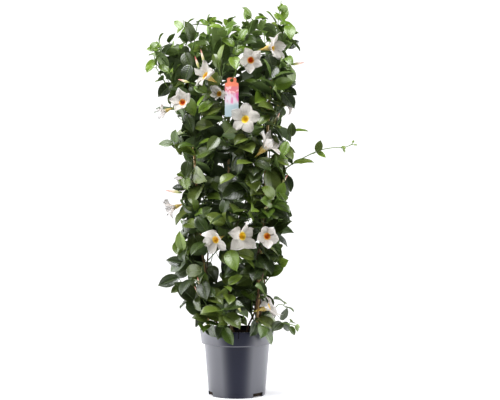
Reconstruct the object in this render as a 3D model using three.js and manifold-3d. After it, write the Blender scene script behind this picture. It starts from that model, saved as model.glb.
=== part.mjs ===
// A white mandevilla in a round nursery pot, trained up three bamboo canes, with a plain hanging plant
// tag. Millimetres, +Z up, -Y is the front, and the origin is the middle of the pot's underside.

import * as THREE from 'three';
import { mergeVertices } from 'three/addons/utils/BufferGeometryUtils.js';
import Module from 'manifold-3d';

const wasm = await Module();
wasm.setup();

// Driving dimensions of the pot, its soil and the canes
const POT_HEIGHT = 195;
const RIM_RADIUS = 110;
const BAND_HEIGHT = 42;
const BAND_FOOT_RADIUS = 106;
const BODY_TOP_RADIUS = 97;
const BASE_RADIUS = 84;
const WALL = 2.4;
const FLOOR = 3;
const SOIL_LEVEL = 176;
const CANE_RADIUS = 4;

// Driving dimensions of the plant
const STEM_RADIUS = 3.1;
const SHOOT_RADIUS = 1.8;
const TIP_RADIUS = 1.6;
const STALK_RADIUS = 1.3;
const LEAF_LENGTH = 76;
const LEAF_WIDTH_SHARE = 0.63;
const LEAF_THICKNESS = 1.2;
const LEAF_STALK = 11;
const LEAF_STALK_HALF_WIDTH = 1.3;
const LEAF_PAIR_STEP = 63;
const BLOOM_RADIUS = 39;
const BLOOM_LENGTH = 50;
const BUD_RADIUS = 4.2;

// Clearances: between pieces that touch, and round a leaf that hangs free
const SEAT_GAP = 0.3;
const LEAF_CLEARANCE = 0.5;

const UP = new THREE.Vector3(0, 0, 1);
const point = (x, y, z) => new THREE.Vector3(x, y, z);
const radians = THREE.MathUtils.degToRad;

// A repeatable draw from 0 to 1 for one seed and one purpose.
function draw(seed, purpose) {
  const value = Math.sin(seed * 12.9898 + purpose * 78.233) * 43758.5453;
  return value - Math.floor(value);
}

// Closed solids, and back to a geometry

function solidOf(geometry) {
  const bare = new THREE.BufferGeometry();
  bare.setAttribute('position', geometry.getAttribute('position'));
  bare.setIndex(geometry.index);
  const merged = mergeVertices(bare, 1e-4);
  return new wasm.Manifold(new wasm.Mesh({
    numProp: 3,
    vertProperties: merged.attributes.position.array,
    triVerts: new Uint32Array(merged.index.array),
  }));
}

function geometryOf(solid) {
  const { vertProperties, triVerts } = solid.getMesh();
  const geometry = new THREE.BufferGeometry();
  geometry.setAttribute('position', new THREE.BufferAttribute(vertProperties, 3));
  geometry.setIndex(new THREE.BufferAttribute(triVerts, 1));
  return geometry.toNonIndexed();
}

const joined = (solids) => solids.reduce((whole, next) => whole.add(next));

// The band of triangles between two rings of points, walked round both at an even pace.
function band(faces, a, b, startA, startB) {
  const stepsA = a > 1 ? a : 0;
  const stepsB = b > 1 ? b : 0;
  let i = 0;
  let j = 0;
  while (i < stepsA || j < stepsB) {
    if (j >= stepsB || (i < stepsA && (i + 1) / a <= (j + 1) / b)) {
      faces.push(startA + (i % a), startB + (j % b), startA + ((i + 1) % a));
      i += 1;
    } else {
      faces.push(startA + (i % a), startB + (j % b), startB + ((j + 1) % b));
      j += 1;
    }
  }
}

// A closed skin over a row of rings of points. A ring of one point is a tip, and an end ring is closed
// flat.
function loft(rings) {
  const faces = [];
  const starts = rings.map((ring, k) => rings.slice(0, k).reduce((sum, before) => sum + before.length, 0));
  for (let k = 0; k + 1 < rings.length; k++) {
    band(faces, rings[k].length, rings[k + 1].length, starts[k], starts[k + 1]);
  }
  const last = starts[rings.length - 1];
  for (let i = 1; i + 1 < rings[0].length; i++) faces.push(0, i, i + 1);
  for (let i = 1; i + 1 < rings[rings.length - 1].length; i++) faces.push(last, last + i + 1, last + i);
  const geometry = new THREE.BufferGeometry();
  const numbers = rings.flat().flatMap((corner) => corner.toArray());
  geometry.setAttribute('position', new THREE.Float32BufferAttribute(numbers, 3));
  geometry.setIndex(faces);
  const solid = solidOf(geometry);
  if (solid.volume() > 0) return solid;
  geometry.setIndex(faces.reverse());
  return solidOf(geometry);
}

// A ring of points about a centre, square to a heading.
function ringAbout(centre, heading, radius, sides) {
  const [level, other] = squareTo(heading);
  return Array.from({ length: sides }, (_, i) => {
    const turn = (2 * Math.PI * i) / sides;
    return centre.clone()
      .addScaledVector(level, radius * Math.cos(turn))
      .addScaledVector(other, radius * Math.sin(turn));
  });
}

// Two directions square to a heading, the first as level as it can be.
function squareTo(heading) {
  const across = Math.abs(heading.z) > 0.95 ? point(1, 0, 0) : UP;
  const level = heading.clone().cross(across).normalize();
  return [level, heading.clone().cross(level).normalize()];
}

// Paths: a path is a row of points, and a place on it is a distance from its start.

function lengthOf(path) {
  return path.slice(1).reduce((sum, corner, i) => sum + corner.distanceTo(path[i]), 0);
}

function placeOn(path, distance, startRadius = 0) {
  let left = distance;
  let i = 1;
  while (i < path.length - 1 && left > path[i].distanceTo(path[i - 1])) {
    left -= path[i].distanceTo(path[i - 1]);
    i += 1;
  }
  const heading = path[i].clone().sub(path[i - 1]).normalize();
  const radius = THREE.MathUtils.lerp(startRadius, TIP_RADIUS, distance / lengthOf(path));
  return { at: path[i - 1].clone().addScaledVector(heading, left), heading, radius };
}

// The distances along a path, those nearest to a target first, without its foot and its very end.
function nearestFirst(path, target, lowest) {
  const step = 6;
  const ends = 10;
  const count = Math.floor((lengthOf(path) - ends - lowest) / step);
  const away = (distance) => placeOn(path, distance).at.distanceTo(target);
  return Array.from({ length: count }, (_, i) => lowest + i * step).sort((a, b) => away(a) - away(b));
}

// A tapering tube of few sides along a path, carried round its bends without twisting.
function tube(path, startRadius, endRadius, sides) {
  let across = squareTo(path[1].clone().sub(path[0]).normalize())[0];
  return loft(path.map((centre, k) => {
    const before = path[Math.max(k - 1, 0)];
    const after = path[Math.min(k + 1, path.length - 1)];
    const heading = after.clone().sub(before).normalize();
    across = across.clone().addScaledVector(heading, -across.dot(heading)).normalize();
    const other = heading.clone().cross(across);
    const radius = THREE.MathUtils.lerp(startRadius, endRadius, k / (path.length - 1));
    return Array.from({ length: sides }, (_, i) => {
      const turn = (2 * Math.PI * i) / sides;
      return centre.clone()
        .addScaledVector(across, radius * Math.cos(turn))
        .addScaledVector(other, radius * Math.sin(turn));
    });
  }));
}

// The pot: one moulded wall and floor, a thick band at the rim, a slot in the band for a label, and three
// drain pockets in the foot, each with a hole through its ceiling.

const POT_SIDES = 30;
const POCKETS = { turns: [-42, 78, -162].map(radians), width: 42, height: 13, inner: 68, hole: 4.5 };
const LABEL_SLOT = { x: 4.5, width: 1.6, depth: 20 };
const BAND_FOOT = POT_HEIGHT - BAND_HEIGHT;

function turned(profile) {
  const outline = profile.map(([radius, z]) => new THREE.Vector2(radius, z));
  return solidOf(new THREE.LatheGeometry(outline, POT_SIDES).rotateX(Math.PI / 2));
}

function uprightColumn(radius, sides, x, y, low, high) {
  const column = new THREE.CylinderGeometry(radius, radius, high - low, sides).rotateX(Math.PI / 2);
  return solidOf(column.translate(x, y, (low + high) / 2));
}

// The three pockets as blocks, or with a grown size, the housings that stand up inside the pot round
// them.
function pocketBlocks(grown) {
  const below = 2;
  const inner = POCKETS.inner - grown;
  const length = BASE_RADIUS + 12 - inner;
  const width = POCKETS.width + 2 * grown;
  const height = POCKETS.height + grown + below;
  return POCKETS.turns.map((turn) => solidOf(new THREE.BoxGeometry(length, width, height)
    .translate(inner + length / 2, 0, height / 2 - below).rotateZ(turn)));
}

const OUTSIDE = [
  [0, 0], [BASE_RADIUS - 2, 0], [BASE_RADIUS, 3], [BODY_TOP_RADIUS, BAND_FOOT - 3],
  [BAND_FOOT_RADIUS - 1, BAND_FOOT], [BAND_FOOT_RADIUS, BAND_FOOT + 3],
  [RIM_RADIUS, POT_HEIGHT - 1.5], [RIM_RADIUS - 1, POT_HEIGHT],
];

// The inner wall from the floor up to the rim, drawn in by a clearance for what fills the pot.
const insideUpTo = (clearance) => [
  [0, FLOOR + clearance], [BASE_RADIUS - WALL - clearance, FLOOR + clearance],
  [BODY_TOP_RADIUS - WALL - clearance, BAND_FOOT - 1], [BAND_FOOT_RADIUS - WALL - clearance, BAND_FOOT + 4],
  [RIM_RADIUS - WALL - clearance, POT_HEIGHT],
];

function makePot() {
  const filled = turned([...OUTSIDE, [0, POT_HEIGHT]]);
  let pot = turned([...OUTSIDE, ...insideUpTo(0).reverse()]);
  for (const housing of pocketBlocks(WALL)) pot = pot.add(housing.intersect(filled));
  for (const pocket of pocketBlocks(0)) pot = pot.subtract(pocket);
  for (const turn of POCKETS.turns) {
    const away = (POCKETS.inner + BASE_RADIUS - WALL) / 2;
    const [x, y] = [away * Math.cos(turn), away * Math.sin(turn)];
    pot = pot.subtract(uprightColumn(POCKETS.hole, 8, x, y, POCKETS.height - 3, POCKETS.height + WALL + 3));
  }
  const { x, width, depth } = LABEL_SLOT;
  const cutter = new THREE.BoxGeometry(width, 16, depth + 4);
  return pot.subtract(solidOf(cutter.translate(x, -RIM_RADIUS, POT_HEIGHT + 2 - depth / 2)));
}

// The canes: three bamboo stakes pushed down into the soil, leaning out, with a swelling at each joint.

const CANES = {
  left: { foot: point(-71, -28, 60), top: point(-150, -52, 1000), joint: 172, first: 96 },
  right: { foot: point(50, -52, 60), top: point(100, -84, 985), joint: 158, first: 70 },
  back: { foot: point(-16, 73, 60), top: point(-30, 120, 1010), joint: 181, first: 118 },
};

function onCane({ foot, top }, z) {
  return foot.clone().lerp(top, (z - foot.z) / (top.z - foot.z));
}

function makeCane(cane) {
  const steps = [[cane.foot.z, CANE_RADIUS]];
  for (let z = cane.foot.z + cane.first; z < cane.top.z - 20; z += cane.joint) {
    steps.push([z - 3, CANE_RADIUS - 0.2], [z + 1, CANE_RADIUS + 0.6]);
  }
  steps.push([cane.top.z, CANE_RADIUS - 0.6]);
  return loft(steps.map(([z, radius]) => ringAbout(onCane(cane, z), UP, radius, 6)));
}

// The soil: it fills the pot to below the rim, crumbly on top, with a plain hole for each cane and stem.

const STEM_FOOT = 128;
const STEM_CLEAR_OF_SOIL = 194;

function makeSoil(vines) {
  const inside = insideUpTo(SEAT_GAP);
  const [wallX, wallZ] = inside[3];
  const [rimX, rimZ] = inside[4];
  const edge = THREE.MathUtils.mapLinear(SOIL_LEVEL, wallZ, rimZ, wallX, rimX);
  const mound = [[edge, SOIL_LEVEL], [72, SOIL_LEVEL + 4], [34, SOIL_LEVEL + 6], [0, SOIL_LEVEL + 8]];
  const profile = [...inside.slice(0, 4), ...mound];
  const outline = profile.map(([radius, z]) => new THREE.Vector2(radius, z));
  const lumpy = new THREE.LatheGeometry(outline, POT_SIDES).rotateX(Math.PI / 2);
  const corners = lumpy.getAttribute('position');
  for (let i = 0; i < corners.count; i++) {
    const [x, y, z] = [corners.getX(i), corners.getY(i), corners.getZ(i)];
    if (z > SOIL_LEVEL + 1) corners.setZ(i, z + 2 * Math.sin(x * 0.11 + 1) * Math.cos(y * 0.13));
  }
  let soil = solidOf(lumpy);
  for (const housing of pocketBlocks(WALL + SEAT_GAP)) soil = soil.subtract(housing);
  const caneHole = CANE_RADIUS + 1.2;
  for (const cane of Object.values(CANES)) {
    const hole = [onCane(cane, cane.foot.z - SEAT_GAP), onCane(cane, STEM_CLEAR_OF_SOIL)];
    soil = soil.subtract(tube(hole, caneHole, caneHole, 8));
  }
  const stemHole = STEM_RADIUS + 0.7;
  for (const { hole: [x, y] } of vines) {
    soil = soil.subtract(uprightColumn(stemHole, 6, x, y, STEM_FOOT - SEAT_GAP, STEM_CLEAR_OF_SOIL));
  }
  return soil;
}

// The vines: six twine up the canes, two to each, and three climb between them. Each has its hole in the
// soil, the height where it leaves its cane, and the points that it passes freely.

const TWINE = { radius: 10, pitch: 330, step: 55, from: 250 };

const VINES = [
  { name: 'vine_left_low', cane: 'left', phase: 192, hole: [-48, -4], leave: 780, seed: 11,
    free: [[-168, -42, 850], [-185, -50, 920], [-212, -50, 985], [-232, -52, 1040]] },
  { name: 'vine_left_high', cane: 'left', phase: 12, hole: [-44, -38], leave: 840, seed: 12,
    free: [[-150, -30, 910], [-150, -18, 985], [-152, -20, 1050], [-160, -22, 1112]] },
  { name: 'vine_right_low', cane: 'right', phase: -68, hole: [30, -24], leave: 780, seed: 13,
    free: [[118, -70, 860], [134, -50, 930], [138, -34, 1000], [144, -30, 1084]] },
  { name: 'vine_right_high', cane: 'right', phase: 112, hole: [54, -18], leave: 750, seed: 14,
    free: [[80, -66, 830], [92, -54, 915], [108, -50, 1000], [118, -44, 1080], [130, -42, 1164]] },
  { name: 'vine_back_low', cane: 'back', phase: 278, hole: [-34, 42], leave: 860, seed: 15,
    free: [[-56, 114, 930], [-76, 92, 1020], [-86, 64, 1128]] },
  { name: 'vine_back_high', cane: 'back', phase: 98, hole: [6, 54], leave: 840, seed: 16,
    free: [[-2, 110, 920], [16, 96, 1000], [26, 74, 1080], [30, 52, 1156]] },
  { name: 'vine_front', hole: [-10, -44], seed: 17,
    free: [[-18, -72, 260], [-24, -84, 340], [-20, -90, 430], [2, -98, 510], [30, -102, 590],
      [34, -104, 670], [4, -106, 750], [-34, -104, 835], [-44, -98, 920], [-30, -80, 1000],
      [-24, -62, 1098]] },
  { name: 'vine_right_back', hole: [46, 26], seed: 18,
    free: [[72, 44, 260], [84, 48, 350], [78, 60, 440], [84, 56, 530], [94, 42, 620], [86, 58, 710],
      [96, 44, 800], [100, 36, 890], [92, 46, 970], [86, 56, 1050], [80, 60, 1134]] },
  { name: 'vine_left_back', hole: [-56, 28], seed: 19,
    free: [[-80, 44, 260], [-92, 52, 350], [-88, 66, 440], [-92, 70, 530], [-106, 56, 620], [-100, 72, 710],
      [-106, 80, 800], [-112, 72, 890], [-110, 76, 970], [-106, 84, 1066]] },
];

function vinePath(vine) {
  const [x, y] = vine.hole;
  const path = [point(x, y, STEM_FOOT), point(x, y, STEM_CLEAR_OF_SOIL)];
  for (let z = TWINE.from; vine.cane && z <= vine.leave; z += TWINE.step) {
    const turn = radians(vine.phase + (360 * z) / TWINE.pitch);
    const away = point(Math.cos(turn), Math.sin(turn), 0).multiplyScalar(TWINE.radius);
    path.push(onCane(CANES[vine.cane], z).add(away));
  }
  return [...path, ...vine.free.map((place) => point(...place))];
}

// The side shoots that reach out of the column: the vine that each leaves, its way, and its pairs of
// leaves, as a share of its length and a leaf length.

const SHOOTS = [
  { vine: 'vine_right_low', seed: 31, pairs: [[0.22, 58], [0.52, 42], [0.86, 17], [0.98, 12]],
    way: [[128, -72, 664], [172, -66, 688], [236, -60, 720], [276, -59, 729], [315, -58, 731],
      [339, -58, 741]] },
  { vine: 'vine_right_low', seed: 32, pairs: [[0.5, 32], [0.97, 44]],
    way: [[116, -88, 706], [136, -92, 738], [150, -90, 768]] },
  { vine: 'vine_left_low', seed: 33, pairs: [[0.5, 60], [0.97, 52]],
    way: [[-142, -66, 700], [-162, -76, 722], [-180, -78, 740]] },
  { vine: 'vine_left_high', seed: 34, pairs: [[0.6, 44], [0.97, 48]],
    way: [[-128, -58, 566], [-140, -66, 606], [-149, -68, 642]] },
  { vine: 'vine_left_low', seed: 35, pairs: [[0.3, 66], [0.66, 70], [0.97, 58]],
    way: [[-118, -48, 372], [-136, -56, 400], [-158, -60, 424]] },
  { vine: 'vine_left_high', seed: 36, pairs: [[0.5, 70], [0.97, 62]],
    way: [[-112, -56, 272], [-132, -62, 292], [-152, -64, 318]] },
  { vine: 'vine_right_high', seed: 37, pairs: [[0.5, 50], [0.97, 44]],
    way: [[84, -76, 338], [104, -82, 362], [128, -84, 384]] },
  { vine: 'vine_right_high', seed: 38, pairs: [[0.62, 48], [0.83, 36], [0.98, 20]],
    way: [[80, -66, 226], [108, -74, 222], [138, -76, 219], [168, -76, 212]] },
  { vine: 'vine_left_high', seed: 39, pairs: [[0.55, 66], [0.97, 66]],
    way: [[-66, -62, 222], [-80, -78, 222], [-92, -90, 208]] },
  { vine: 'vine_front', seed: 40, pairs: [[0.5, 64], [0.97, 68]],
    way: [[-26, -78, 226], [-34, -94, 226], [-40, -108, 212]] },
  { vine: 'vine_right_low', seed: 41, pairs: [[0.5, 66], [0.97, 68]],
    way: [[48, -62, 226], [58, -84, 230], [70, -104, 214]] },
  { vine: 'vine_left_low', seed: 42, pairs: [[0.5, 48], [0.97, 40]],
    way: [[-196, -62, 900], [-216, -70, 930], [-236, -74, 962]] },
  { vine: 'vine_left_high', seed: 43, pairs: [[0.5, 50], [0.97, 38]],
    way: [[-136, -40, 1000], [-124, -44, 1050], [-116, -40, 1096]] },
  { vine: 'vine_right_high', seed: 44, pairs: [[0.5, 60], [0.97, 50]],
    way: [[122, -64, 1030], [134, -76, 1050], [142, -80, 1080]] },
  { vine: 'vine_front', seed: 45, pairs: [[0.45, 58], [0.97, 44]],
    way: [[0, -92, 1000], [30, -88, 1050], [46, -80, 1100]] },
  { vine: 'vine_back_low', seed: 46, pairs: [[0.5, 60], [0.97, 48]],
    way: [[-110, 128, 880], [-140, 140, 920], [-160, 142, 960]] },
  { vine: 'vine_back_high', seed: 47, pairs: [[0.5, 64], [0.97, 52]],
    way: [[20, 138, 800], [44, 152, 830], [64, 158, 862]] },
  { vine: 'vine_right_back', seed: 48, pairs: [[0.5, 66], [0.97, 60]],
    way: [[112, 70, 250], [130, 86, 262], [146, 96, 258]] },
  { vine: 'vine_left_back', seed: 49, pairs: [[0.5, 64], [0.97, 54]],
    way: [[-124, 84, 460], [-146, 94, 490], [-166, 98, 520]] },
  { vine: 'vine_back_low', seed: 50, pairs: [[0.5, 66], [0.97, 64]],
    way: [[-30, 126, 240], [-34, 138, 250], [-36, 150, 240]] },
];

// The flowers: the middle of each face, which way it looks (turned from the front, and up), its spin and
// size.
const BLOOMS = [
  { vine: 'vine_right_high', face: [104, -104, 1015], look: [62, 12], spin: 10, size: 0.98 },
  { vine: 'vine_front', face: [39, -150, 967], look: [6, 6], spin: 40, size: 0.86 },
  { vine: 'vine_front', face: [-92, -132, 928], look: [-62, 4], spin: 0, size: 0.9 },
  { vine: 'vine_left_low', face: [-157, -112, 855], look: [-18, 2], spin: 22, size: 0.92 },
  { vine: 'vine_left_low', face: [-212, -100, 828], look: [-82, -24], spin: 30, size: 0.55 },
  { vine: 'vine_front', face: [-52, -116, 878], look: [-14, 0], spin: 54, size: 0.66 },
  { vine: 'vine_front', face: [22, -152, 801], look: [8, -6], spin: 8, size: 1.05 },
  { vine: 'vine_right_high', face: [86, -128, 730], look: [62, 40], spin: 60, size: 0.95 },
  { vine: 'vine_left_high', face: [-190, -46, 554], look: [-80, -20], spin: 20, size: 0.68 },
  { vine: 'vine_left_high', face: [-62, -140, 460], look: [16, -4], spin: 35, size: 1.0 },
  { vine: 'vine_front', face: [17, -150, 471], look: [-16, -2], spin: 16, size: 1.08 },
  { vine: 'vine_right_high', face: [86, -130, 471], look: [14, 4], spin: 48, size: 0.95 },
  { vine: 'vine_right_low', face: [94, -92, 267], look: [64, 8], spin: 26, size: 0.92 },
  { vine: 'vine_back_low', face: [-70, 172, 760], look: [190, 8], spin: 12, size: 0.95 },
  { vine: 'vine_back_high', face: [52, 166, 560], look: [160, 4], spin: 44, size: 1.0 },
  { vine: 'vine_right_back', face: [158, 78, 880], look: [112, 12], spin: 30, size: 0.95 },
  { vine: 'vine_left_back', face: [-160, 112, 640], look: [232, 6], spin: 5, size: 0.92 },
];

// The furled buds: the base and the tip of each.
const BUDS = [
  { vine: 'vine_front', base: [-94, -108, 966], tip: [-104, -110, 1006] },
  { vine: 'vine_left_low', base: [-108, -116, 948], tip: [-120, -122, 984] },
  { vine: 'vine_left_low', base: [-134, -124, 908], tip: [-168, -130, 917] },
  { vine: 'vine_right_low', base: [158, -42, 975], tip: [199, -40, 982] },
  { vine: 'vine_right_low', base: [100, -118, 784], tip: [123, -120, 825] },
  { vine: 'vine_left_high', base: [-160, -58, 598], tip: [-210, -60, 605] },
  { vine: 'vine_right_low', base: [127, -88, 622], tip: [147, -90, 648] },
  { vine: 'vine_front', base: [74, -118, 544], tip: [97, -120, 564] },
  { vine: 'vine_left_low', base: [-104, -88, 320], tip: [-115, -90, 355] },
  { vine: 'vine_left_low', base: [-100, -98, 292], tip: [-124, -100, 328] },
  { vine: 'vine_front', base: [12, -118, 254], tip: [-10, -120, 288] },
  { vine: 'vine_back_high', base: [4, 146, 900], tip: [14, 160, 938] },
];

// The shoot that carries the tag runs forward and up through the tag's hole.
const TAG_SHOOT = {
  vine: 'vine_front', way: [[-30, -116, 902], [-15, -136, 913], [-4, -152, 934], [6, -164, 962]],
};
const TAG = { width: 39, drop: 96, neck: 27, head: 15, holeUp: 7, hole: 5, thickness: 0.9, corner: 3 };

// Leaves

// Half a leaf's outline: how far along each ring of the blade lies, and its share of the full width.
const BLADE = [[0.2, 0.86], [0.6, 0.96]];

// A place along the rib of a leaf, which bends down in an even curve, and the way the blade faces there.
function onRib(leaf, share) {
  const bend = leaf.bend * share;
  const reach = (leaf.length * Math.sin(bend)) / leaf.bend;
  const dip = (leaf.length * (1 - Math.cos(bend))) / leaf.bend;
  return {
    at: leaf.base.clone().addScaledVector(leaf.axis, reach).addScaledVector(leaf.face, -dip),
    face: leaf.face.clone().multiplyScalar(Math.cos(bend)).addScaledVector(leaf.axis, Math.sin(bend)),
  };
}

// A blade's section: left edge, rib above, right edge and rib below, with both edges folded up.
function bladeSection(leaf, share, width, thickness) {
  const { at, face } = onRib(leaf, share);
  const half = leaf.side.clone().multiplyScalar((width / 2) * Math.cos(leaf.fold));
  const edge = at.clone().addScaledVector(face, (width / 2) * Math.sin(leaf.fold));
  return [
    edge.clone().sub(half), at.clone().addScaledVector(face, thickness / 2),
    edge.clone().add(half), at.clone().addScaledVector(face, -thickness / 2),
  ];
}

// The three-sided section of a leaf's stalk, square to its way: left, right and below.
function stalkSection(leaf, centre, way, half) {
  const across = leaf.side.clone().addScaledVector(way, -leaf.side.dot(way)).normalize();
  const below = way.clone().cross(across);
  return [
    centre.clone().addScaledVector(across, -half), centre.clone().addScaledVector(across, half),
    centre.clone().addScaledVector(below, 1.5 * half),
  ];
}

// One leaf: a stalk whose point is sunk through the stem, and a folded blade that is round at its base
// and ends in a point.
function leafSolid(leaf) {
  const half = LEAF_STALK_HALF_WIDTH;
  const turning = leaf.stalk.clone().add(leaf.axis).normalize();
  return loft([
    [leaf.root.clone().addScaledVector(leaf.stalk, -leaf.sunk)],
    stalkSection(leaf, leaf.base, turning, half),
    ...BLADE.map(([share, wide]) => bladeSection(leaf, share, leaf.width * wide, LEAF_THICKNESS)),
    [onRib(leaf, 1).at],
  ]);
}

// The room that a leaf needs: its blade, and its stalk.
function leafRoom(leaf) {
  const grown = 2 * LEAF_CLEARANCE;
  const blade = loft([
    ...[[0, 0.05], ...BLADE, [1, 0.05]].map(([share, wide]) => (
      bladeSection(leaf, share, leaf.width * wide + grown, LEAF_THICKNESS + grown))),
  ]);
  const half = LEAF_STALK_HALF_WIDTH + LEAF_CLEARANCE;
  const stalk = [leaf.root, leaf.base].map((end) => stalkSection(leaf, end, leaf.stalk, half));
  return { blade, stalk: loft(stalk) };
}

// The ways a leaf is turned, in order, until it hangs clear: swing about its face, tip up or down, and
// size.
const TURNS = [[0, 0, 1], [26, 8, 1], [-26, 8, 1], [14, 34, 0.95], [-14, -30, 0.95], [52, 0, 0.88],
  [-52, 0, 0.88], [0, 55, 0.85], [20, -45, 0.8], [-75, 20, 0.75], [75, 20, 0.75]];

// Where a leaf sits and how it hangs, from the heading of its stem, its seed, and its youth from 0 to 1.
function poseLeaf(seed, spot, pairTurn, size, youth, [swing, tip, scale]) {
  const [level, other] = squareTo(spot.heading);
  const outward = point(spot.at.x, spot.at.y, 0).normalize();
  const around = level.multiplyScalar(Math.cos(pairTurn)).addScaledVector(other, Math.sin(pairTurn));
  const spread = radians(38 + 30 * (1 - youth) + 12 * (draw(seed, 2) - 0.5));
  const stalk = spot.heading.clone().multiplyScalar(Math.cos(spread))
    .addScaledVector(around, Math.sin(spread))
    .addScaledVector(outward, 0.25 * (1 - youth))
    .normalize();
  const sag = 0.62 * (1 - youth) - 0.1 + 0.5 * (draw(seed, 3) - 0.5);
  const axis = stalk.clone()
    .addScaledVector(outward, 0.4 * (1 - youth))
    .addScaledVector(UP, -sag)
    .normalize();
  const tilt = point(draw(seed, 4) - 0.5, draw(seed, 5) - 0.5, draw(seed, 6) - 0.5).multiplyScalar(0.7);
  const light = outward.clone().multiplyScalar(0.9).addScaledVector(UP, 0.55 + 0.5 * youth).add(tilt);
  const face = light.addScaledVector(axis, -light.dot(axis)).normalize();
  axis.applyAxisAngle(face, radians(swing));
  const side = axis.clone().cross(face).normalize();
  axis.applyAxisAngle(side, radians(tip));
  face.applyAxisAngle(side, radians(tip));
  const length = size * scale;
  const stalkLength = LEAF_STALK * (0.5 + (0.5 * length) / LEAF_LENGTH);
  return {
    root: spot.at, sunk: 0.45 * spot.radius, base: spot.at.clone().addScaledVector(stalk, stalkLength),
    stalk, axis, face, side, length,
    width: length * (LEAF_WIDTH_SHARE + 0.08 * (draw(seed, 7) - 0.5)),
    bend: radians(22 + 34 * draw(seed, 8)), fold: radians(8 + 14 * draw(seed, 9)),
  };
}

// The see-through gaps between the canes, seen from the front: centre x and z, half width and half
// height.
const SEE_THROUGH = [
  [-66, 396, 24, 30], [-58, 334, 16, 22], [-62, 771, 26, 12], [-48, 684, 20, 18], [104, 330, 20, 40],
  [-152, 690, 16, 12],
];

function inSeeThrough(leaf) {
  const spare = 8;
  return [0.15, 0.5, 0.85].some((share) => {
    const { at } = onRib(leaf, share);
    return SEE_THROUGH.some(([x, z, wide, high]) => (
      ((at.x - x) / (wide + spare)) ** 2 + ((at.z - z) / (high + spare)) ** 2 < 1));
  });
}

// What is in place already, each with its box and the name of its node.
const placed = [];

function put(solid, node) {
  placed.push({ solid, node, box: solid.boundingBox() });
  return solid;
}

const boxesMeet = (a, b) => [0, 1, 2].every((i) => a.min[i] <= b.max[i] && b.min[i] <= a.max[i]);

function isClear(solid, sparedNode) {
  const box = solid.boundingBox();
  return !placed.some((other) => other.node !== sparedNode && boxesMeet(box, other.box)
    && solid.intersect(other.solid).volume() > 1e-3);
}

function growLeaf(node, parts, ...from) {
  for (const turn of TURNS) {
    const leaf = poseLeaf(...from, turn);
    const { blade, stalk } = leafRoom(leaf);
    if (!inSeeThrough(leaf) && isClear(blade) && isClear(stalk, node)) {
      parts.push(put(leafSolid(leaf), node));
      return;
    }
  }
}

// Leaves in pairs along a stem, each pair turned a quarter from the last.
function growPairs(node, parts, path, startRadius, pairs, seed) {
  pairs.forEach(([distance, size, youth], k) => {
    const spot = placeOn(path, distance, startRadius);
    const turn = radians(90 * k + 40 * (draw(seed + k, 1) - 0.5) + 360 * draw(seed, 10));
    for (const half of [0, 1]) {
      growLeaf(node, parts, seed * 100 + k * 2 + half, spot, turn + half * Math.PI, size, youth);
    }
  });
}

// The pairs of leaves on a main stem: closer and smaller towards its growing tip.
function mainPairs(vine, path) {
  const whole = lengthOf(path);
  const young = 190;
  const pairs = [];
  let distance = 108 + 30 * draw(vine.seed, 20);
  while (distance < whole - 3) {
    const grownUp = Math.min(1, (whole - distance) / young);
    const size = LEAF_LENGTH * (0.86 + 0.28 * draw(vine.seed, 30 + pairs.length)) * (0.36 + 0.64 * grownUp);
    pairs.push([distance, size, 1 - grownUp]);
    distance += LEAF_PAIR_STEP * (0.5 + 0.5 * grownUp);
  }
  return pairs;
}

// Flowers and buds

// One lobe of the face: the notch before it, its shoulders and its point, by turn and by share of the
// radius.
const LOBE = [[0, 0.45], [13, 0.9], [36, 1], [58, 0.92]];

function lookOf([turn, rise]) {
  const [a, e] = [radians(turn), radians(rise)];
  return point(Math.sin(a) * Math.cos(e), -Math.cos(a) * Math.cos(e), Math.sin(e));
}

// The trumpet's radius and depth below the face: up the outside, and back down the open throat.
const TRUMPET_OUTSIDE = [[1.6, -BLOOM_LENGTH], [2.2, -33], [7, -22], [10, -6]];
const TRUMPET_THROAT = [[8.4, -3], [4.6, -23]];
const FACE_RISE = 3;

// A flower is a trumpet: a narrow neck, a wider throat that is open inside, and a flared face of five
// lobes.
function bloomSolid(bloom) {
  const look = lookOf(bloom.look);
  const [level, other] = squareTo(look);
  const corner = (turn, radius, depth) => point(...bloom.face)
    .addScaledVector(level, radius * bloom.size * Math.cos(radians(bloom.spin + turn)))
    .addScaledVector(other, radius * bloom.size * Math.sin(radians(bloom.spin + turn)))
    .addScaledVector(look, depth * bloom.size);
  const lobes = [0, 1, 2, 3, 4];
  const plain = ([radius, depth]) => lobes.map((lobe) => corner(72 * lobe, radius, depth));
  const face = lobes.flatMap((lobe) => LOBE.map(([turn, share]) => (
    corner(72 * lobe + turn, BLOOM_RADIUS * share, FACE_RISE * Math.sin(Math.PI * share)))));
  return loft([...TRUMPET_OUTSIDE.map(plain), face, ...TRUMPET_THROAT.map(plain)]);
}

// A furled bud: a spindle, fattest below the middle.
function budSolid(bud) {
  const base = point(...bud.base);
  const tip = point(...bud.tip);
  const heading = tip.clone().sub(base).normalize();
  const ring = (share, radius) => ringAbout(base.clone().lerp(tip, share), heading, radius, 5);
  return loft([ring(0, 1.5), ring(0.42, BUD_RADIUS), ring(0.72, BUD_RADIUS * 0.64), [tip]]);
}

const CALYX = { length: 7, radius: 3 };

// A flower stalk from a place on its vine, ending in a cupped calyx just short of what it carries.
function stalkSolid(from, seat, heading, spare) {
  const end = seat.clone().addScaledVector(heading, -SEAT_GAP);
  const cupFoot = seat.clone().addScaledVector(heading, -CALYX.length);
  const bow = cupFoot.clone().addScaledVector(heading, -0.5 * from.distanceTo(cupFoot));
  const [start, middle] = new THREE.QuadraticBezierCurve3(from, bow, cupFoot).getPoints(2);
  const away = middle.clone().sub(start).normalize();
  return loft([
    ringAbout(start, away, STALK_RADIUS + spare, 3), ringAbout(middle, heading, STALK_RADIUS + spare, 3),
    ringAbout(cupFoot, heading, STALK_RADIUS + spare, 3), ringAbout(end, heading, CALYX.radius, 3),
  ]);
}

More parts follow.
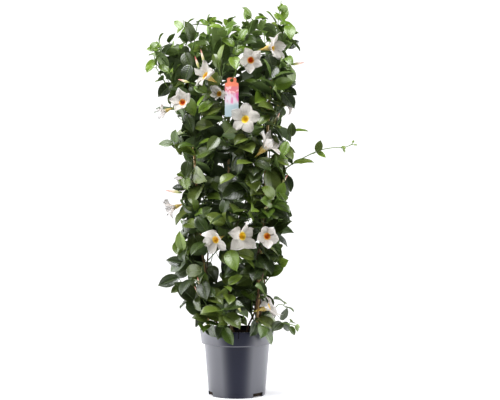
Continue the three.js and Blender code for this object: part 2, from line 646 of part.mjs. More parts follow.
// What leaves a vine starts at the place nearest to a target from which it is clear of everything else.
function branchOff(vine, target, lowest, make) {
  const { path, parts } = grown.get(vine);
  for (const distance of nearestFirst(path, target, lowest)) {
    const { at } = placeOn(path, distance);
    if (isClear(make(at, LEAF_CLEARANCE), vine)) {
      parts.push(put(make(at, 0), vine));
      return at;
    }
  }
  throw new Error(`nothing can leave ${vine} for ${target.toArray()}`);
}

// The tag: a thin strip with a narrower head, and a hole that hangs on its shoot.
function tagSolid() {
  const [half, neck] = [TAG.width / 2, TAG.neck / 2];
  const right = [
    [half, -TAG.drop], [half, -TAG.corner], [half - TAG.corner, 0], [neck - TAG.corner, 2], [neck, 5],
    [neck, TAG.head - TAG.corner - 2], [neck - TAG.corner - 2, TAG.head],
  ];
  const left = right.map(([x, z]) => [-x, z]).reverse();
  const outline = new THREE.Shape([...right, ...left].map(([x, z]) => new THREE.Vector2(x, z)));
  outline.holes.push(new THREE.Path().absarc(0, TAG.holeUp, TAG.hole, 0, 2 * Math.PI, true));
  const options = { depth: TAG.thickness, bevelEnabled: false, curveSegments: 4 };
  const flat = new THREE.ExtrudeGeometry(outline, options);
  const [x, y, z] = TAG_SHOOT.way[1];
  const holeBelowShoot = TAG.hole - 2.4 * SHOOT_RADIUS - SEAT_GAP;
  return solidOf(flat.translate(0, -TAG.holeUp, -TAG.thickness / 2).rotateX(Math.PI / 2)
    .translate(x, y, z - holeBelowShoot));
}

// Putting it together

const FINISHES = {
  pot: { color: 0x6b6f7c, roughness: 0.5, metalness: 0 },
  soil: { color: 0x1d1712, roughness: 1, metalness: 0 },
  cane: { color: 0xb79462, roughness: 0.6, metalness: 0 },
  leaf: { color: 0x3f6a26, roughness: 0.4, metalness: 0 },
  petal: { color: 0xf3f0ee, roughness: 0.6, metalness: 0 },
  bud: { color: 0xd9c9a8, roughness: 0.6, metalness: 0 },
  tag: { color: 0xe3a2a4, roughness: 0.35, metalness: 0 },
};

const group = new THREE.Group();

function show(name, solid, finish) {
  const geometry = geometryOf(solid);
  geometry.computeVertexNormals();
  const mesh = new THREE.Mesh(geometry, new THREE.MeshStandardMaterial(FINISHES[finish]));
  mesh.name = name;
  group.add(mesh);
}

const numbered = (word, index) => `${word}_${String(index + 1).padStart(2, '0')}`;

// First what is stiff.
show('pot', put(makePot(), 'pot'), 'pot');
show('soil', put(makeSoil(VINES), 'soil'), 'soil');
for (const [side, cane] of Object.entries(CANES)) {
  show(`cane_${side}`, put(makeCane(cane), `cane_${side}`), 'cane');
}

// Then every stem, with its flowers and buds, and the tag.
const grown = new Map();
for (const vine of VINES) {
  const path = vinePath(vine);
  grown.set(vine.name, { path, parts: [put(tube(path, STEM_RADIUS, TIP_RADIUS, 3), vine.name)] });
}

for (const shoot of [TAG_SHOOT, ...SHOOTS]) {
  const way = shoot.way.map((place) => point(...place));
  const start = branchOff(shoot.vine, way[0], 66, (from, spare) => (
    tube([from, ...way], SHOOT_RADIUS + spare, TIP_RADIUS + spare, 3)));
  shoot.path = [start, ...way];
}
show('tag', put(tagSolid(), 'tag'), 'tag');

BLOOMS.forEach((bloom, i) => {
  const name = numbered('bloom', i);
  show(name, put(bloomSolid(bloom), name), 'petal');
});
BUDS.forEach((bud, i) => {
  const name = numbered('bud', i);
  show(name, put(budSolid(bud), name), 'bud');
});

const below = (seat) => seat.clone().addScaledVector(UP, -35);
for (const bloom of BLOOMS) {
  const look = lookOf(bloom.look);
  const seat = point(...bloom.face).addScaledVector(look, -BLOOM_LENGTH * bloom.size);
  branchOff(bloom.vine, below(seat), 120, (from, spare) => stalkSolid(from, seat, look, spare));
}
for (const bud of BUDS) {
  const seat = point(...bud.base);
  const heading = point(...bud.tip).sub(seat).normalize();
  branchOff(bud.vine, below(seat), 120, (from, spare) => stalkSolid(from, seat, heading, spare));
}

// The leaves last, where there is room: the reaching shoots first, then the main stems.
for (const shoot of SHOOTS) {
  const whole = lengthOf(shoot.path);
  const pairs = shoot.pairs.map(([share, size], k) => {
    const youth = 0.25 + (0.6 * k) / shoot.pairs.length;
    return [share * whole, size, youth];
  });
  growPairs(shoot.vine, grown.get(shoot.vine).parts, shoot.path, SHOOT_RADIUS, pairs, shoot.seed);
}
for (const vine of VINES) {
  const { path, parts } = grown.get(vine.name);
  growPairs(vine.name, parts, path, STEM_RADIUS, mainPairs(vine, path), vine.seed);
}
for (const [name, { parts }] of grown) show(name, joined(parts), 'leaf');

export default group;
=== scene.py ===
# A white mandevilla trained up three bamboo canes in a round nursery pot, with a plain hanging tag,
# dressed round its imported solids. Sizes that the solids share are in millimetres, and meshes are in metres.

import math
from types import SimpleNamespace

import bmesh
import bpy
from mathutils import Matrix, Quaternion, Vector, noise
from mathutils.bvhtree import BVHTree
from mathutils.kdtree import KDTree


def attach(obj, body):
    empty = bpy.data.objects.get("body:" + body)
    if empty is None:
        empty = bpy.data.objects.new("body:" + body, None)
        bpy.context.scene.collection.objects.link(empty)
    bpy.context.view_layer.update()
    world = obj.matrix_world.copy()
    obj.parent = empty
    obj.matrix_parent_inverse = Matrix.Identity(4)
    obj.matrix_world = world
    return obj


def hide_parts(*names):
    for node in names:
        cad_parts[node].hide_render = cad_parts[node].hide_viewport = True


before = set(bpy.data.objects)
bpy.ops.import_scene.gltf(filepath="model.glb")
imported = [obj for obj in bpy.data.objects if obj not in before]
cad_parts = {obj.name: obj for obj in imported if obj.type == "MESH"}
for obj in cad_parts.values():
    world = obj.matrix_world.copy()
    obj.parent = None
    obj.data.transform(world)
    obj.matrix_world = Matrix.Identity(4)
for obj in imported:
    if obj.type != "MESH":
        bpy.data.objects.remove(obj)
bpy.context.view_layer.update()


# A nursery pot of satin grey-blue polypropylene, injection moulded in one shot: a thick band round the rim
# with a slot for a care label, a tapered body, and drain pockets in the foot with a hole in each ceiling.

MM = 0.001
POT_HEIGHT = 195
RIM_RADIUS = 110
BAND_FOOT_RADIUS = 106
BAND_FOOT = 153
BODY_TOP_RADIUS = 97
BASE_RADIUS = 84
WALL = 2.4
FLOOR = 3
POT_SIDES = 128
HOLE_SIDES = 20
# The corners of the pot's profile that are rounded, the last first, each with its radius.
POT_ROUNDS = [(6, 1), (5, 1), (4, 2.2), (3, 1.6), (2, 2.5)]
POCKET_TURNS = [-42, 78, -162]
POCKET = {"width": 42, "height": 13, "inner": 68, "hole": 4.5}
LABEL_SLOT = {"x": 4.5, "width": 1.6, "depth": 20}
POT_BLUE = (0.0095, 0.011, 0.0235)
POT_BLUE_PALE = (0.011875, 0.01375, 0.029375)


def in_scene(name, data):
    """A new object in the scene."""
    piece = bpy.data.objects.new(name, data)
    bpy.context.scene.collection.objects.link(piece)
    return piece


def new_mesh(name, corners, faces=(), edges=(), unit=MM, smooth=True):
    """A new mesh, with its corners in millimetres unless another unit is given."""
    mesh = bpy.data.meshes.new(name)
    mesh.from_pydata([Vector(corner) * unit for corner in corners], edges, faces)
    if faces and smooth:
        mesh.shade_smooth()
    return mesh


def turned(profile, sides):
    """Corners and faces of a closed turned shape, from its radius and height, starting and ending on the axis."""
    corners, rings = [], []
    for radius, height in profile:
        if radius == 0:
            rings.append([len(corners)] * sides)
            corners.append((0, 0, height))
            continue
        rings.append(range(len(corners), len(corners) + sides))
        turns = [2 * math.pi * i / sides for i in range(sides)]
        corners += [(radius * math.cos(turn), radius * math.sin(turn), height) for turn in turns]
    faces = []
    for lower, upper in zip(rings, rings[1:]):
        for i in range(sides):
            ring = [lower[i], lower[(i + 1) % sides], upper[(i + 1) % sides], upper[i]]
            faces.append(list(dict.fromkeys(ring)))
    return corners, faces


def block(low, high, turn=0):
    """Corners and faces of a box, turned about the pot's axis by a number of degrees."""
    spin = Quaternion((0, 0, 1), math.radians(turn))
    xs, ys, zs = zip(low, high)
    corners = [spin @ Vector((x, y, z)) for x in xs for y in ys for z in zs]
    return corners, [(0, 1, 3, 2), (4, 6, 7, 5), (0, 4, 5, 1), (2, 3, 7, 6), (0, 2, 6, 4), (1, 5, 7, 3)]


def plain_mesh(piece):
    """Applies a piece's modifiers."""
    graph = bpy.context.evaluated_depsgraph_get()
    made = bpy.data.meshes.new_from_object(piece.evaluated_get(graph), preserve_all_data_layers=True, depsgraph=graph)
    piece.modifiers.clear()
    piece.data = made


def carve(piece, operation, corners, faces):
    """Joins, cuts or keeps the common part of a piece and a shape, and leaves a plain mesh."""
    tool = in_scene("tool", new_mesh("tool", corners, faces, smooth=False))
    cut = piece.modifiers.new("cut", "BOOLEAN")
    cut.operation, cut.solver, cut.object = operation, "EXACT", tool
    plain_mesh(piece)
    bpy.data.objects.remove(tool)


def rounded(profile, where, radius):
    """A profile with one corner rounded in four steps."""
    before, corner, after = (Vector(profile[where + k]) for k in (-1, 0, 1))
    start = corner + (before - corner).normalized() * radius
    end = corner + (after - corner).normalized() * radius
    arc = [tuple(start * (1 - t) ** 2 + corner * 2 * t * (1 - t) + end * t ** 2) for t in (0, 0.25, 0.5, 0.75, 1)]
    return profile[:where] + arc + profile[where + 1:]


profile = [(0, 0), (40, 0), (BASE_RADIUS, 0), (BODY_TOP_RADIUS, BAND_FOOT - 1), (BAND_FOOT_RADIUS, BAND_FOOT + 0.5),
           (RIM_RADIUS, POT_HEIGHT), (RIM_RADIUS - WALL, POT_HEIGHT), (BAND_FOOT_RADIUS - WALL, BAND_FOOT + 4),
           (BODY_TOP_RADIUS - WALL, BAND_FOOT - 1), (BASE_RADIUS - WALL, FLOOR), (0, FLOOR)]
for where, radius in POT_ROUNDS:
    profile = rounded(profile, where, radius)
pot = in_scene("nursery_pot", new_mesh("nursery_pot", *turned(profile, POT_SIDES)))
filled = [(0, 0), (BASE_RADIUS - 0.4, 0.2), (BODY_TOP_RADIUS - 0.4, BAND_FOOT - 2), (0, BAND_FOOT - 2)]
half, inner, top, beyond = POCKET["width"] / 2, POCKET["inner"], POCKET["height"], BASE_RADIUS + 12
for turn in POCKET_TURNS:
    shell = block((inner - WALL, -half - WALL, 1), (beyond, half + WALL, top + WALL), turn)
    housing = in_scene("housing", new_mesh("housing", *shell, smooth=False))
    carve(housing, "INTERSECT", *turned(filled, POT_SIDES))
    corners = [corner.co / MM for corner in housing.data.vertices]
    carve(pot, "UNION", corners, [list(face.vertices) for face in housing.data.polygons])
    bpy.data.objects.remove(housing)
for turn in POCKET_TURNS:
    carve(pot, "DIFFERENCE", *block((inner, -half, -2), (beyond, half, top), turn))
    hole, faces = turned([(0, top - 3), (POCKET["hole"], top - 3), (POCKET["hole"], top + 6), (0, top + 6)], HOLE_SIDES)
    away = Quaternion((0, 0, 1), math.radians(turn)) @ Vector(((inner + BASE_RADIUS - WALL) / 2, 0, 0))
    carve(pot, "DIFFERENCE", [Vector(corner) + away for corner in hole], faces)
left, right = (LABEL_SLOT["x"] + side * LABEL_SLOT["width"] / 2 for side in (-1, 1))
carve(pot, "DIFFERENCE", *block((left, -RIM_RADIUS - 8, POT_HEIGHT - LABEL_SLOT["depth"]),
                                (right, -RIM_RADIUS + 8, POT_HEIGHT + 4)))
pot.data.set_sharp_from_angle(angle=math.radians(32))


class Feed:
    """What a node puts out, so that sums with it read as sums. Arrows are added, taken off and scaled."""

    def __init__(self, socket):
        self.socket, self.tree = socket, socket.id_data
        self.is_arrow = socket.type in ("VECTOR", "RGBA")

    def __add__(self, other):
        return sums("ADD", self, other)

    def __sub__(self, other):
        return sums("SUBTRACT", self, other)

    def __rsub__(self, other):
        return sums("SUBTRACT", other, self)

    def __mul__(self, other):
        return sums("SCALE" if self.is_arrow else "MULTIPLY", self, other)

    def __truediv__(self, other):
        return sums("DIVIDE", self, other)

    def __pow__(self, other):
        return sums("POWER", self, other)

    def __abs__(self):
        return sums("ABSOLUTE", self)


def plug(value, socket):
    """Feeds an input from another node, or sets it."""
    if isinstance(value, Feed):
        socket.id_data.links.new(value.socket, socket)
    else:
        socket.default_value = (*value, 1) if socket.type == "RGBA" else value


def output(tree, kind, feeds=None, which=0, **settings):
    """What a new node puts out, with its settings made and its inputs fed from other nodes or set."""
    made = tree.nodes.new(kind)
    for name, value in settings.items():
        setattr(made, name, value)
    for name, value in (feeds or {}).items():
        plug(value, made.inputs[name])
    return Feed(made.outputs[which])


def outputs(feed):
    """All that the node behind a feed puts out."""
    return [Feed(socket) for socket in feed.socket.node.outputs]


def parts(arrow):
    """The three numbers of an arrow."""
    return outputs(output(arrow.tree, "ShaderNodeSeparateXYZ", {0: arrow}))


def sums(operation, *feeds):
    """The result of a Math node, or of a Vector Math node for arrows."""
    first = next(feed for feed in feeds if isinstance(feed, Feed))
    if not first.is_arrow:
        return output(first.tree, "ShaderNodeMath", dict(enumerate(feeds)), operation=operation)
    named_feeds = {0: feeds[0], "Scale" if operation == "SCALE" else 1: feeds[1]}
    return output(first.tree, "ShaderNodeVectorMath", named_feeds, operation=operation)


def blend(share, first, second):
    """Two colours mixed by a share."""
    return output(share.tree, "ShaderNodeMix", {0: share, 6: first, 7: second}, 2, data_type="RGBA")


def between(value, low, high, to_low=0.0, to_high=1.0):
    """A value eased from one range to another."""
    feeds = {"Value": value, "From Min": low, "From Max": high, "To Min": to_low, "To Max": to_high}
    return output(value.tree, "ShaderNodeMapRange", feeds, interpolation_type="SMOOTHSTEP")


def surface_place(tree):
    """Where a point lies on its piece, in metres."""
    return output(tree, "ShaderNodeTexCoord", which="Object")


def cloud(place, scale, detail=3.0):
    """A soft noise at a place."""
    return output(place.tree, "ShaderNodeTexNoise", {"Vector": place, "Scale": scale, "Detail": detail})


def new_effect(name, inputs, results, make):
    """A shader node group, built once, that every finish with the same effect places with its own values."""
    tree = bpy.data.node_groups.new(name, "ShaderNodeTree")
    for label, kind in inputs.items():
        tree.interface.new_socket(label, in_out="INPUT", socket_type="NodeSocket" + kind)
    for label in results:
        tree.interface.new_socket(label, in_out="OUTPUT", socket_type="NodeSocketFloat")
    given = [Feed(socket) for socket in tree.nodes.new("NodeGroupInput").outputs][:len(inputs)]
    for value, socket in zip(make(*given), tree.nodes.new("NodeGroupOutput").inputs):
        plug(value, socket)
    return tree


def drift_nodes(place, scale, contrast):
    return (cloud(place, scale) - 0.5) * contrast + 0.5, cloud(place, scale * 14.0, 4.0)


def streak_nodes(place, stretch, detail):
    return [cloud(output(place.tree, "ShaderNodeMapping", {"Vector": place, "Scale": stretch}), 1.0, detail)]


surface_drift = new_effect("surface drift", {"Place": "Vector", "Scale": "Float", "Contrast": "Float"},
                           ("Drift", "Grain"), drift_nodes)
surface_streaks = new_effect("surface streaks", {"Place": "Vector", "Stretch": "Vector", "Detail": "Float"},
                             ("Streak",), streak_nodes)


def drift(tree, scale, contrast):
    """Slow and fine variation over a surface, for every finish that is never quite even."""
    feeds = {"Place": surface_place(tree), "Scale": scale, "Contrast": contrast}
    return outputs(output(tree, "ShaderNodeGroup", feeds, node_tree=surface_drift))


def streaks(tree, stretch, detail=3.0):
    """A noise with a scale for each direction, drawn out as fibres, cracks and brush strokes are."""
    feeds = {"Place": surface_place(tree), "Stretch": stretch, "Detail": detail}
    return output(tree, "ShaderNodeGroup", feeds, node_tree=surface_streaks)


def bump(height, distance, strength):
    """A normal raised by a height."""
    return output(height.tree, "ShaderNodeBump", {"Height": height, "Distance": distance, "Strength": strength})


def new_finish(name):
    """A new material and its tree."""
    finish = bpy.data.materials.new(name)
    finish.use_nodes = True
    return finish, finish.node_tree


def dress(tree, **feeds):
    """Feeds or sets the inputs of a finish's shader by their names."""
    for name, value in feeds.items():
        plug(value, tree.nodes["Principled BSDF"].inputs[name.replace("_", " ")])


pot_plastic, tree = new_finish("satin pot plastic")
slow, fine = drift(tree, 9.0, 1.6)
# The moulded skin turns glossier where it is seen at a slant, as satin plastic does.
slant = output(tree, "ShaderNodeLayerWeight", {"Blend": 0.5}, "Facing")
dress(tree, Base_Color=blend(slow, POT_BLUE, POT_BLUE_PALE), Roughness=between(slow, 0.0, 1.0, 0.36, 0.47),
      Specular_IOR_Level=0.28, Coat_Weight=between(slant, 0.04, 0.20), Coat_IOR=1.95, Coat_Roughness=0.34,
      Normal=bump(fine, 0.0002, 0.25))
pot.data.materials.clear()
pot.data.materials.append(pot_plastic)
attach(pot, "root")
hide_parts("pot")


# Potting soil: dark, damp peat and bark that fills the pot to below its band's top, crumbly where it shows.
# Each crumb is one small broken lump scattered over the top.

SOIL_LEVEL = 176
SOIL_RADIUS = 105
SOIL_MOUND = 8
SOIL_LUMPS = [(2.2, 0.045, 0), (1.2, 0.14, 5)]
SOIL_RINGS = (102, 95, 86, 76, 66, 56, 46, 36, 26, 16, 7, 0)
SOIL_GAP = 0.4
SOIL_SIDES = 72
CRUMB_SIZE = 0.0042
CRUMBS_A_SQUARE_METRE = 42000.0
CRUMB_UNEVEN = 0.008


def soil_height(x, y):
    """How high the top of the soil lies at a place: a low mound with broad and small lumps."""
    height = SOIL_LEVEL + SOIL_MOUND * (1 - (math.hypot(x, y) / SOIL_RADIUS) ** 1.5)
    for high, close, level in SOIL_LUMPS:
        height += high * noise.noise(Vector((x, y, level)) * close)
    return height


inside = [(BASE_RADIUS, FLOOR + 0.3), (BODY_TOP_RADIUS, BAND_FOOT - 1), (BAND_FOOT_RADIUS, BAND_FOOT + 4)]
soil_profile = [(0, FLOOR + 0.3)] + [(radius - WALL - SOIL_GAP, height) for radius, height in inside]
soil_profile += [(SOIL_RADIUS + 0.3, SOIL_LEVEL - 2)] + [(radius, SOIL_LEVEL) for radius in SOIL_RINGS]
corners, faces = turned(soil_profile, SOIL_SIDES)
corners = [(x, y, z if z < SOIL_LEVEL - 1 else soil_height(x, y)) for x, y, z in corners]
soil_bed = in_scene("soil_bed", new_mesh("soil_bed", corners, faces))


def node_tree(name, **inputs):
    """A new Geometry Nodes tree with named inputs. Gives the tree, what it is given and the socket for its result."""
    tree = bpy.data.node_groups.new(name, "GeometryNodeTree")
    for label, kind in {"geometry": "Geometry", **inputs}.items():
        label = label.replace("_", " ").capitalize()
        tree.interface.new_socket(label, in_out="INPUT", socket_type="NodeSocket" + kind)
    tree.interface.new_socket("Geometry", in_out="OUTPUT", socket_type="NodeSocketGeometry")
    sockets = tree.nodes.new("NodeGroupInput").outputs
    given = SimpleNamespace(**{socket.name.replace(" ", "_").lower(): Feed(socket) for socket in sockets})
    return tree, given, tree.nodes.new("NodeGroupOutput").inputs[0]


def run_tree(piece, tree, **values):
    """Makes a piece's plain mesh with a Geometry Nodes tree, its inputs set by their labels."""
    modifier = piece.modifiers.new(tree.name, "NODES")
    modifier.node_group = tree
    for socket in tree.interface.items_tree:
        label = socket.name.replace(" ", "_").lower()
        if socket.in_out == "INPUT" and label in values:
            modifier[socket.identifier] = values[label]
    plain_mesh(piece)


def copies(points, shape, **feeds):
    """A shape put on each point, turned and sized where that is given, and made real."""
    made = output(points.tree, "GeometryNodeInstanceOnPoints", {"Points": points, "Instance": shape, **feeds})
    return output(points.tree, "GeometryNodeRealizeInstances", {0: made})


def joined(*shapes):
    """Several shapes as one."""
    whole = output(shapes[0].tree, "GeometryNodeJoinGeometry")
    for shape in shapes:
        plug(shape, whole.socket.node.inputs[0])
    return whole


def made_of(shape, material):
    """A shape with its material."""
    return output(shape.tree, "GeometryNodeSetMaterial", {"Geometry": shape, "Material": material})


crumbly, given, result = node_tree("soil crumbs", density="Float", crumb_size="Float", seed="Int", soil="Material")
up = parts(output(crumbly, "GeometryNodeInputNormal"))[2]
top = output(crumbly, "FunctionNodeCompare", {0: up, 1: 0.7}, operation="GREATER_THAN")
feeds = {"Mesh": given.geometry, "Selection": top, "Density": given.density, "Seed": given.seed}
spots = output(crumbly, "GeometryNodeDistributePointsOnFaces", feeds, "Points")
crumb = output(crumbly, "GeometryNodeMeshIcoSphere", {"Radius": given.crumb_size, "Subdivisions": 2}, "Mesh")
place = output(crumbly, "GeometryNodeInputPosition")
rough = output(crumbly, "ShaderNodeTexNoise", {"Vector": place, "Scale": 330.0}, "Color")
shift = (rough - (0.5, 0.5, 0.5)) * CRUMB_UNEVEN
crumb = output(crumbly, "GeometryNodeSetPosition", {"Geometry": crumb, "Offset": shift})
random = "FunctionNodeRandomValue"
spin = output(crumbly, random, {1: (6.28, 6.28, 6.28), "Seed": given.seed}, data_type="FLOAT_VECTOR")
size = output(crumbly, random, {2: 0.25, 3: 1.0, "Seed": given.seed}, 1, data_type="FLOAT")
crumbs = copies(spots, crumb, Rotation=spin, Scale=size)
plug(made_of(joined(crumbs, given.geometry), given.soil), result)

potting_soil, tree = new_finish("potting soil")
slow, fine = drift(tree, 60.0, 2.0)
brown = blend(slow, (0.012, 0.009, 0.007), (0.05, 0.034, 0.022))
brown = blend(between(fine, 0.6, 0.75), brown, (0.10, 0.07, 0.045))
dress(tree, Base_Color=brown, Roughness=0.95, Specular_IOR_Level=0.2, Normal=bump(fine, 0.0015, 0.9))
run_tree(soil_bed, crumbly, density=CRUMBS_A_SQUARE_METRE, crumb_size=CRUMB_SIZE, seed=7, soil=potting_soil)
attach(soil_bed, "root")
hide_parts("soil")


# The canes: three split-free bamboo stakes pushed down into the soil, tan and a little glossy, each with a
# swollen joint every hand's length, where a sheath left a dark ring.

CANE_RADIUS = 4
CANES = {
    "left": {"foot": Vector((-71, -28, 60)), "top": Vector((-150, -52, 1000)), "joint": 172, "first": 96},
    "right": {"foot": Vector((50, -52, 60)), "top": Vector((100, -84, 985)), "joint": 158, "first": 70},
    "back": {"foot": Vector((-16, 73, 60)), "top": Vector((-30, 120, 1010)), "joint": 181, "first": 118},
}
CANE_SIDES = 20
CANE_UNEVEN = 0.05
CANE_TWIST = 0.004
# What a joint is like: how far along the cane from it, how much thicker the cane is, how near the dark ring.
CANE_JOINT = [(-60, -0.25, 0), (-7, -0.15, 0.1), (-2.5, 0.25, 0.6), (-1, -0.1, 1), (0, 0.1, 1), (1.5, 0.5, 0.5),
              (5, 0, 0.1), (40, -0.2, 0)]


def on_cane(cane, z):
    foot, top = cane["foot"], cane["top"]
    return foot.lerp(top, (z - foot.z) / (top.z - foot.z))


def cane_profile(cane):
    """Heights along a cane with its radius and how near a joint's ring each lies."""
    low, high = cane["foot"].z, cane["top"].z
    rows = [(low, CANE_RADIUS - 0.1, 0)]
    z = low + cane["first"]
    while z < high - 20:
        rows += [(z + along, CANE_RADIUS + thicker, mark) for along, thicker, mark in CANE_JOINT]
        z += cane["joint"]
    rows = sorted(row for row in rows if low <= row[0] < high - 1)
    return rows + [(high - 0.6, CANE_RADIUS - 0.6, 0), (high, CANE_RADIUS - 1, 0)]


def painted(tree, name, which="Fac"):
    """A value laid on a piece's points or faces, read in a finish."""
    return output(tree, "ShaderNodeAttribute", which=which, attribute_name=name)


def point_values(mesh, **values):
    """Named values on a mesh's points: numbers, or directions as three numbers."""
    for name, given_values in values.items():
        vectors = isinstance(given_values[0], Vector)
        layer = mesh.attributes.new(name, "FLOAT_VECTOR" if vectors else "FLOAT", "POINT")
        flat = [number for value in given_values for number in value] if vectors else given_values
        layer.data.foreach_set("vector" if vectors else "value", flat)


bamboo, tree = new_finish("bamboo")
slow, _ = drift(tree, 14.0, 1.8)
fibres = streaks(tree, (420, 420, 9))
tan = blend(slow, (0.40, 0.25, 0.10), (0.56, 0.40, 0.19))
tan = blend(between(fibres, 0.35, 0.75, 0.0, 0.45), tan, (0.24, 0.15, 0.07))
tan = blend(between(painted(tree, "joint_ring"), 0.45, 1.0, 0.0, 0.85), tan, (0.10, 0.055, 0.025))
dress(tree, Base_Color=tan, Roughness=between(fibres, 0.2, 0.8, 0.34, 0.55), Specular_IOR_Level=0.4,
      Coat_Weight=0.15, Coat_Roughness=0.3, Normal=bump(fibres, 0.0003, 0.5))

for side, cane in CANES.items():
    rows = cane_profile(cane)
    profile = [(0, rows[0][0])] + [(radius, z) for z, radius, _ in rows] + [(0, rows[-1][0])]
    corners, faces = turned(profile, CANE_SIDES)
    for k, (x, y, z) in enumerate(corners):
        uneven = 1 + CANE_UNEVEN * math.cos(2 * math.atan2(y, x) + z * CANE_TWIST)
        corners[k] = on_cane(cane, z) + Vector((x * uneven, y * uneven, 0))
    piece = in_scene("bamboo_cane_" + side, new_mesh("bamboo_cane_" + side, corners, faces))
    marks = [0] + [mark for _, _, mark in rows for i in range(CANE_SIDES)] + [0]
    point_values(piece.data, joint_ring=marks)
    piece.data.set_sharp_from_angle(angle=math.radians(50))
    piece.data.materials.append(bamboo)
    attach(piece, "root")
    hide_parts("cane_" + side)


# The stems: nine twining mandevilla stems, brown and corky at the foot and green above, six of them wound up
# the canes, with side shoots that reach out, and a thin stalk to each flower and bud.

STEM_RADIUS = 3.1
SHOOT_RADIUS = 1.8
TIP_RADIUS = 1.6
STALK_RADIUS = 1.3
CALYX = 7
SHOOTS_ABOVE = 66
STALKS_ABOVE = 120
STALK_DROP = 35
KNUCKLE = {"swell": 0.28, "length": 4}
STEM_FOOT = 128
STEM_CLEAR_OF_SOIL = 194
TWINE = {"radius": 10, "pitch": 330, "step": 55, "from": 250}
UP = Vector((0, 0, 1))


def rows_of(labels, *rows):
    """A table's rows with their values by label. The last labels may be left out of a row."""
    return [SimpleNamespace(**dict(zip(labels.split(), row))) for row in rows]


# Each vine: its hole in the soil and its free way up. Those that twine also have their cane, where on its round the
# twining starts, and the height at which they leave the cane.
VINES = rows_of("name seed hole free cane phase leave",
    ("vine_left_low", 11, (-48, -4), ((-168, -42, 850), (-185, -50, 920), (-212, -50, 985), (-232, -52, 1040)),
     "left", 192, 780),
    ("vine_left_high", 12, (-44, -38), ((-150, -30, 910), (-150, -18, 985), (-152, -20, 1050), (-160, -22, 1112)),
     "left", 12, 840),
    ("vine_right_low", 13, (30, -24), ((118, -70, 860), (134, -50, 930), (138, -34, 1000), (144, -30, 1084)),
     "right", -68, 780),
    ("vine_right_high", 14, (54, -18), ((80, -66, 830), (92, -54, 915), (108, -50, 1000), (118, -44, 1080),
     (130, -42, 1164)), "right", 112, 750),
    ("vine_back_low", 15, (-34, 42), ((-56, 114, 930), (-76, 92, 1020), (-86, 64, 1128)), "back", 278, 860),
    ("vine_back_high", 16, (6, 54), ((-2, 110, 920), (16, 96, 1000), (26, 74, 1080), (30, 52, 1156)),
     "back", 98, 840),
    ("vine_front", 17, (-10, -44), ((-18, -72, 260), (-24, -84, 340), (-20, -90, 430), (2, -98, 510), (30, -102, 590),
     (34, -104, 670), (4, -106, 750), (-34, -104, 835), (-44, -98, 920), (-30, -80, 1000), (-24, -62, 1098))),
    ("vine_right_back", 18, (46, 26), ((72, 44, 260), (84, 48, 350), (78, 60, 440), (84, 56, 530), (94, 42, 620),
     (86, 58, 710), (96, 44, 800), (100, 36, 890), (92, 46, 970), (86, 56, 1050), (80, 60, 1134))),
    ("vine_left_back", 19, (-56, 28), ((-80, 44, 260), (-92, 52, 350), (-88, 66, 440), (-92, 70, 530),
     (-106, 56, 620), (-100, 72, 710), (-106, 80, 800), (-112, 72, 890), (-110, 76, 970), (-106, 84, 1066))),
)
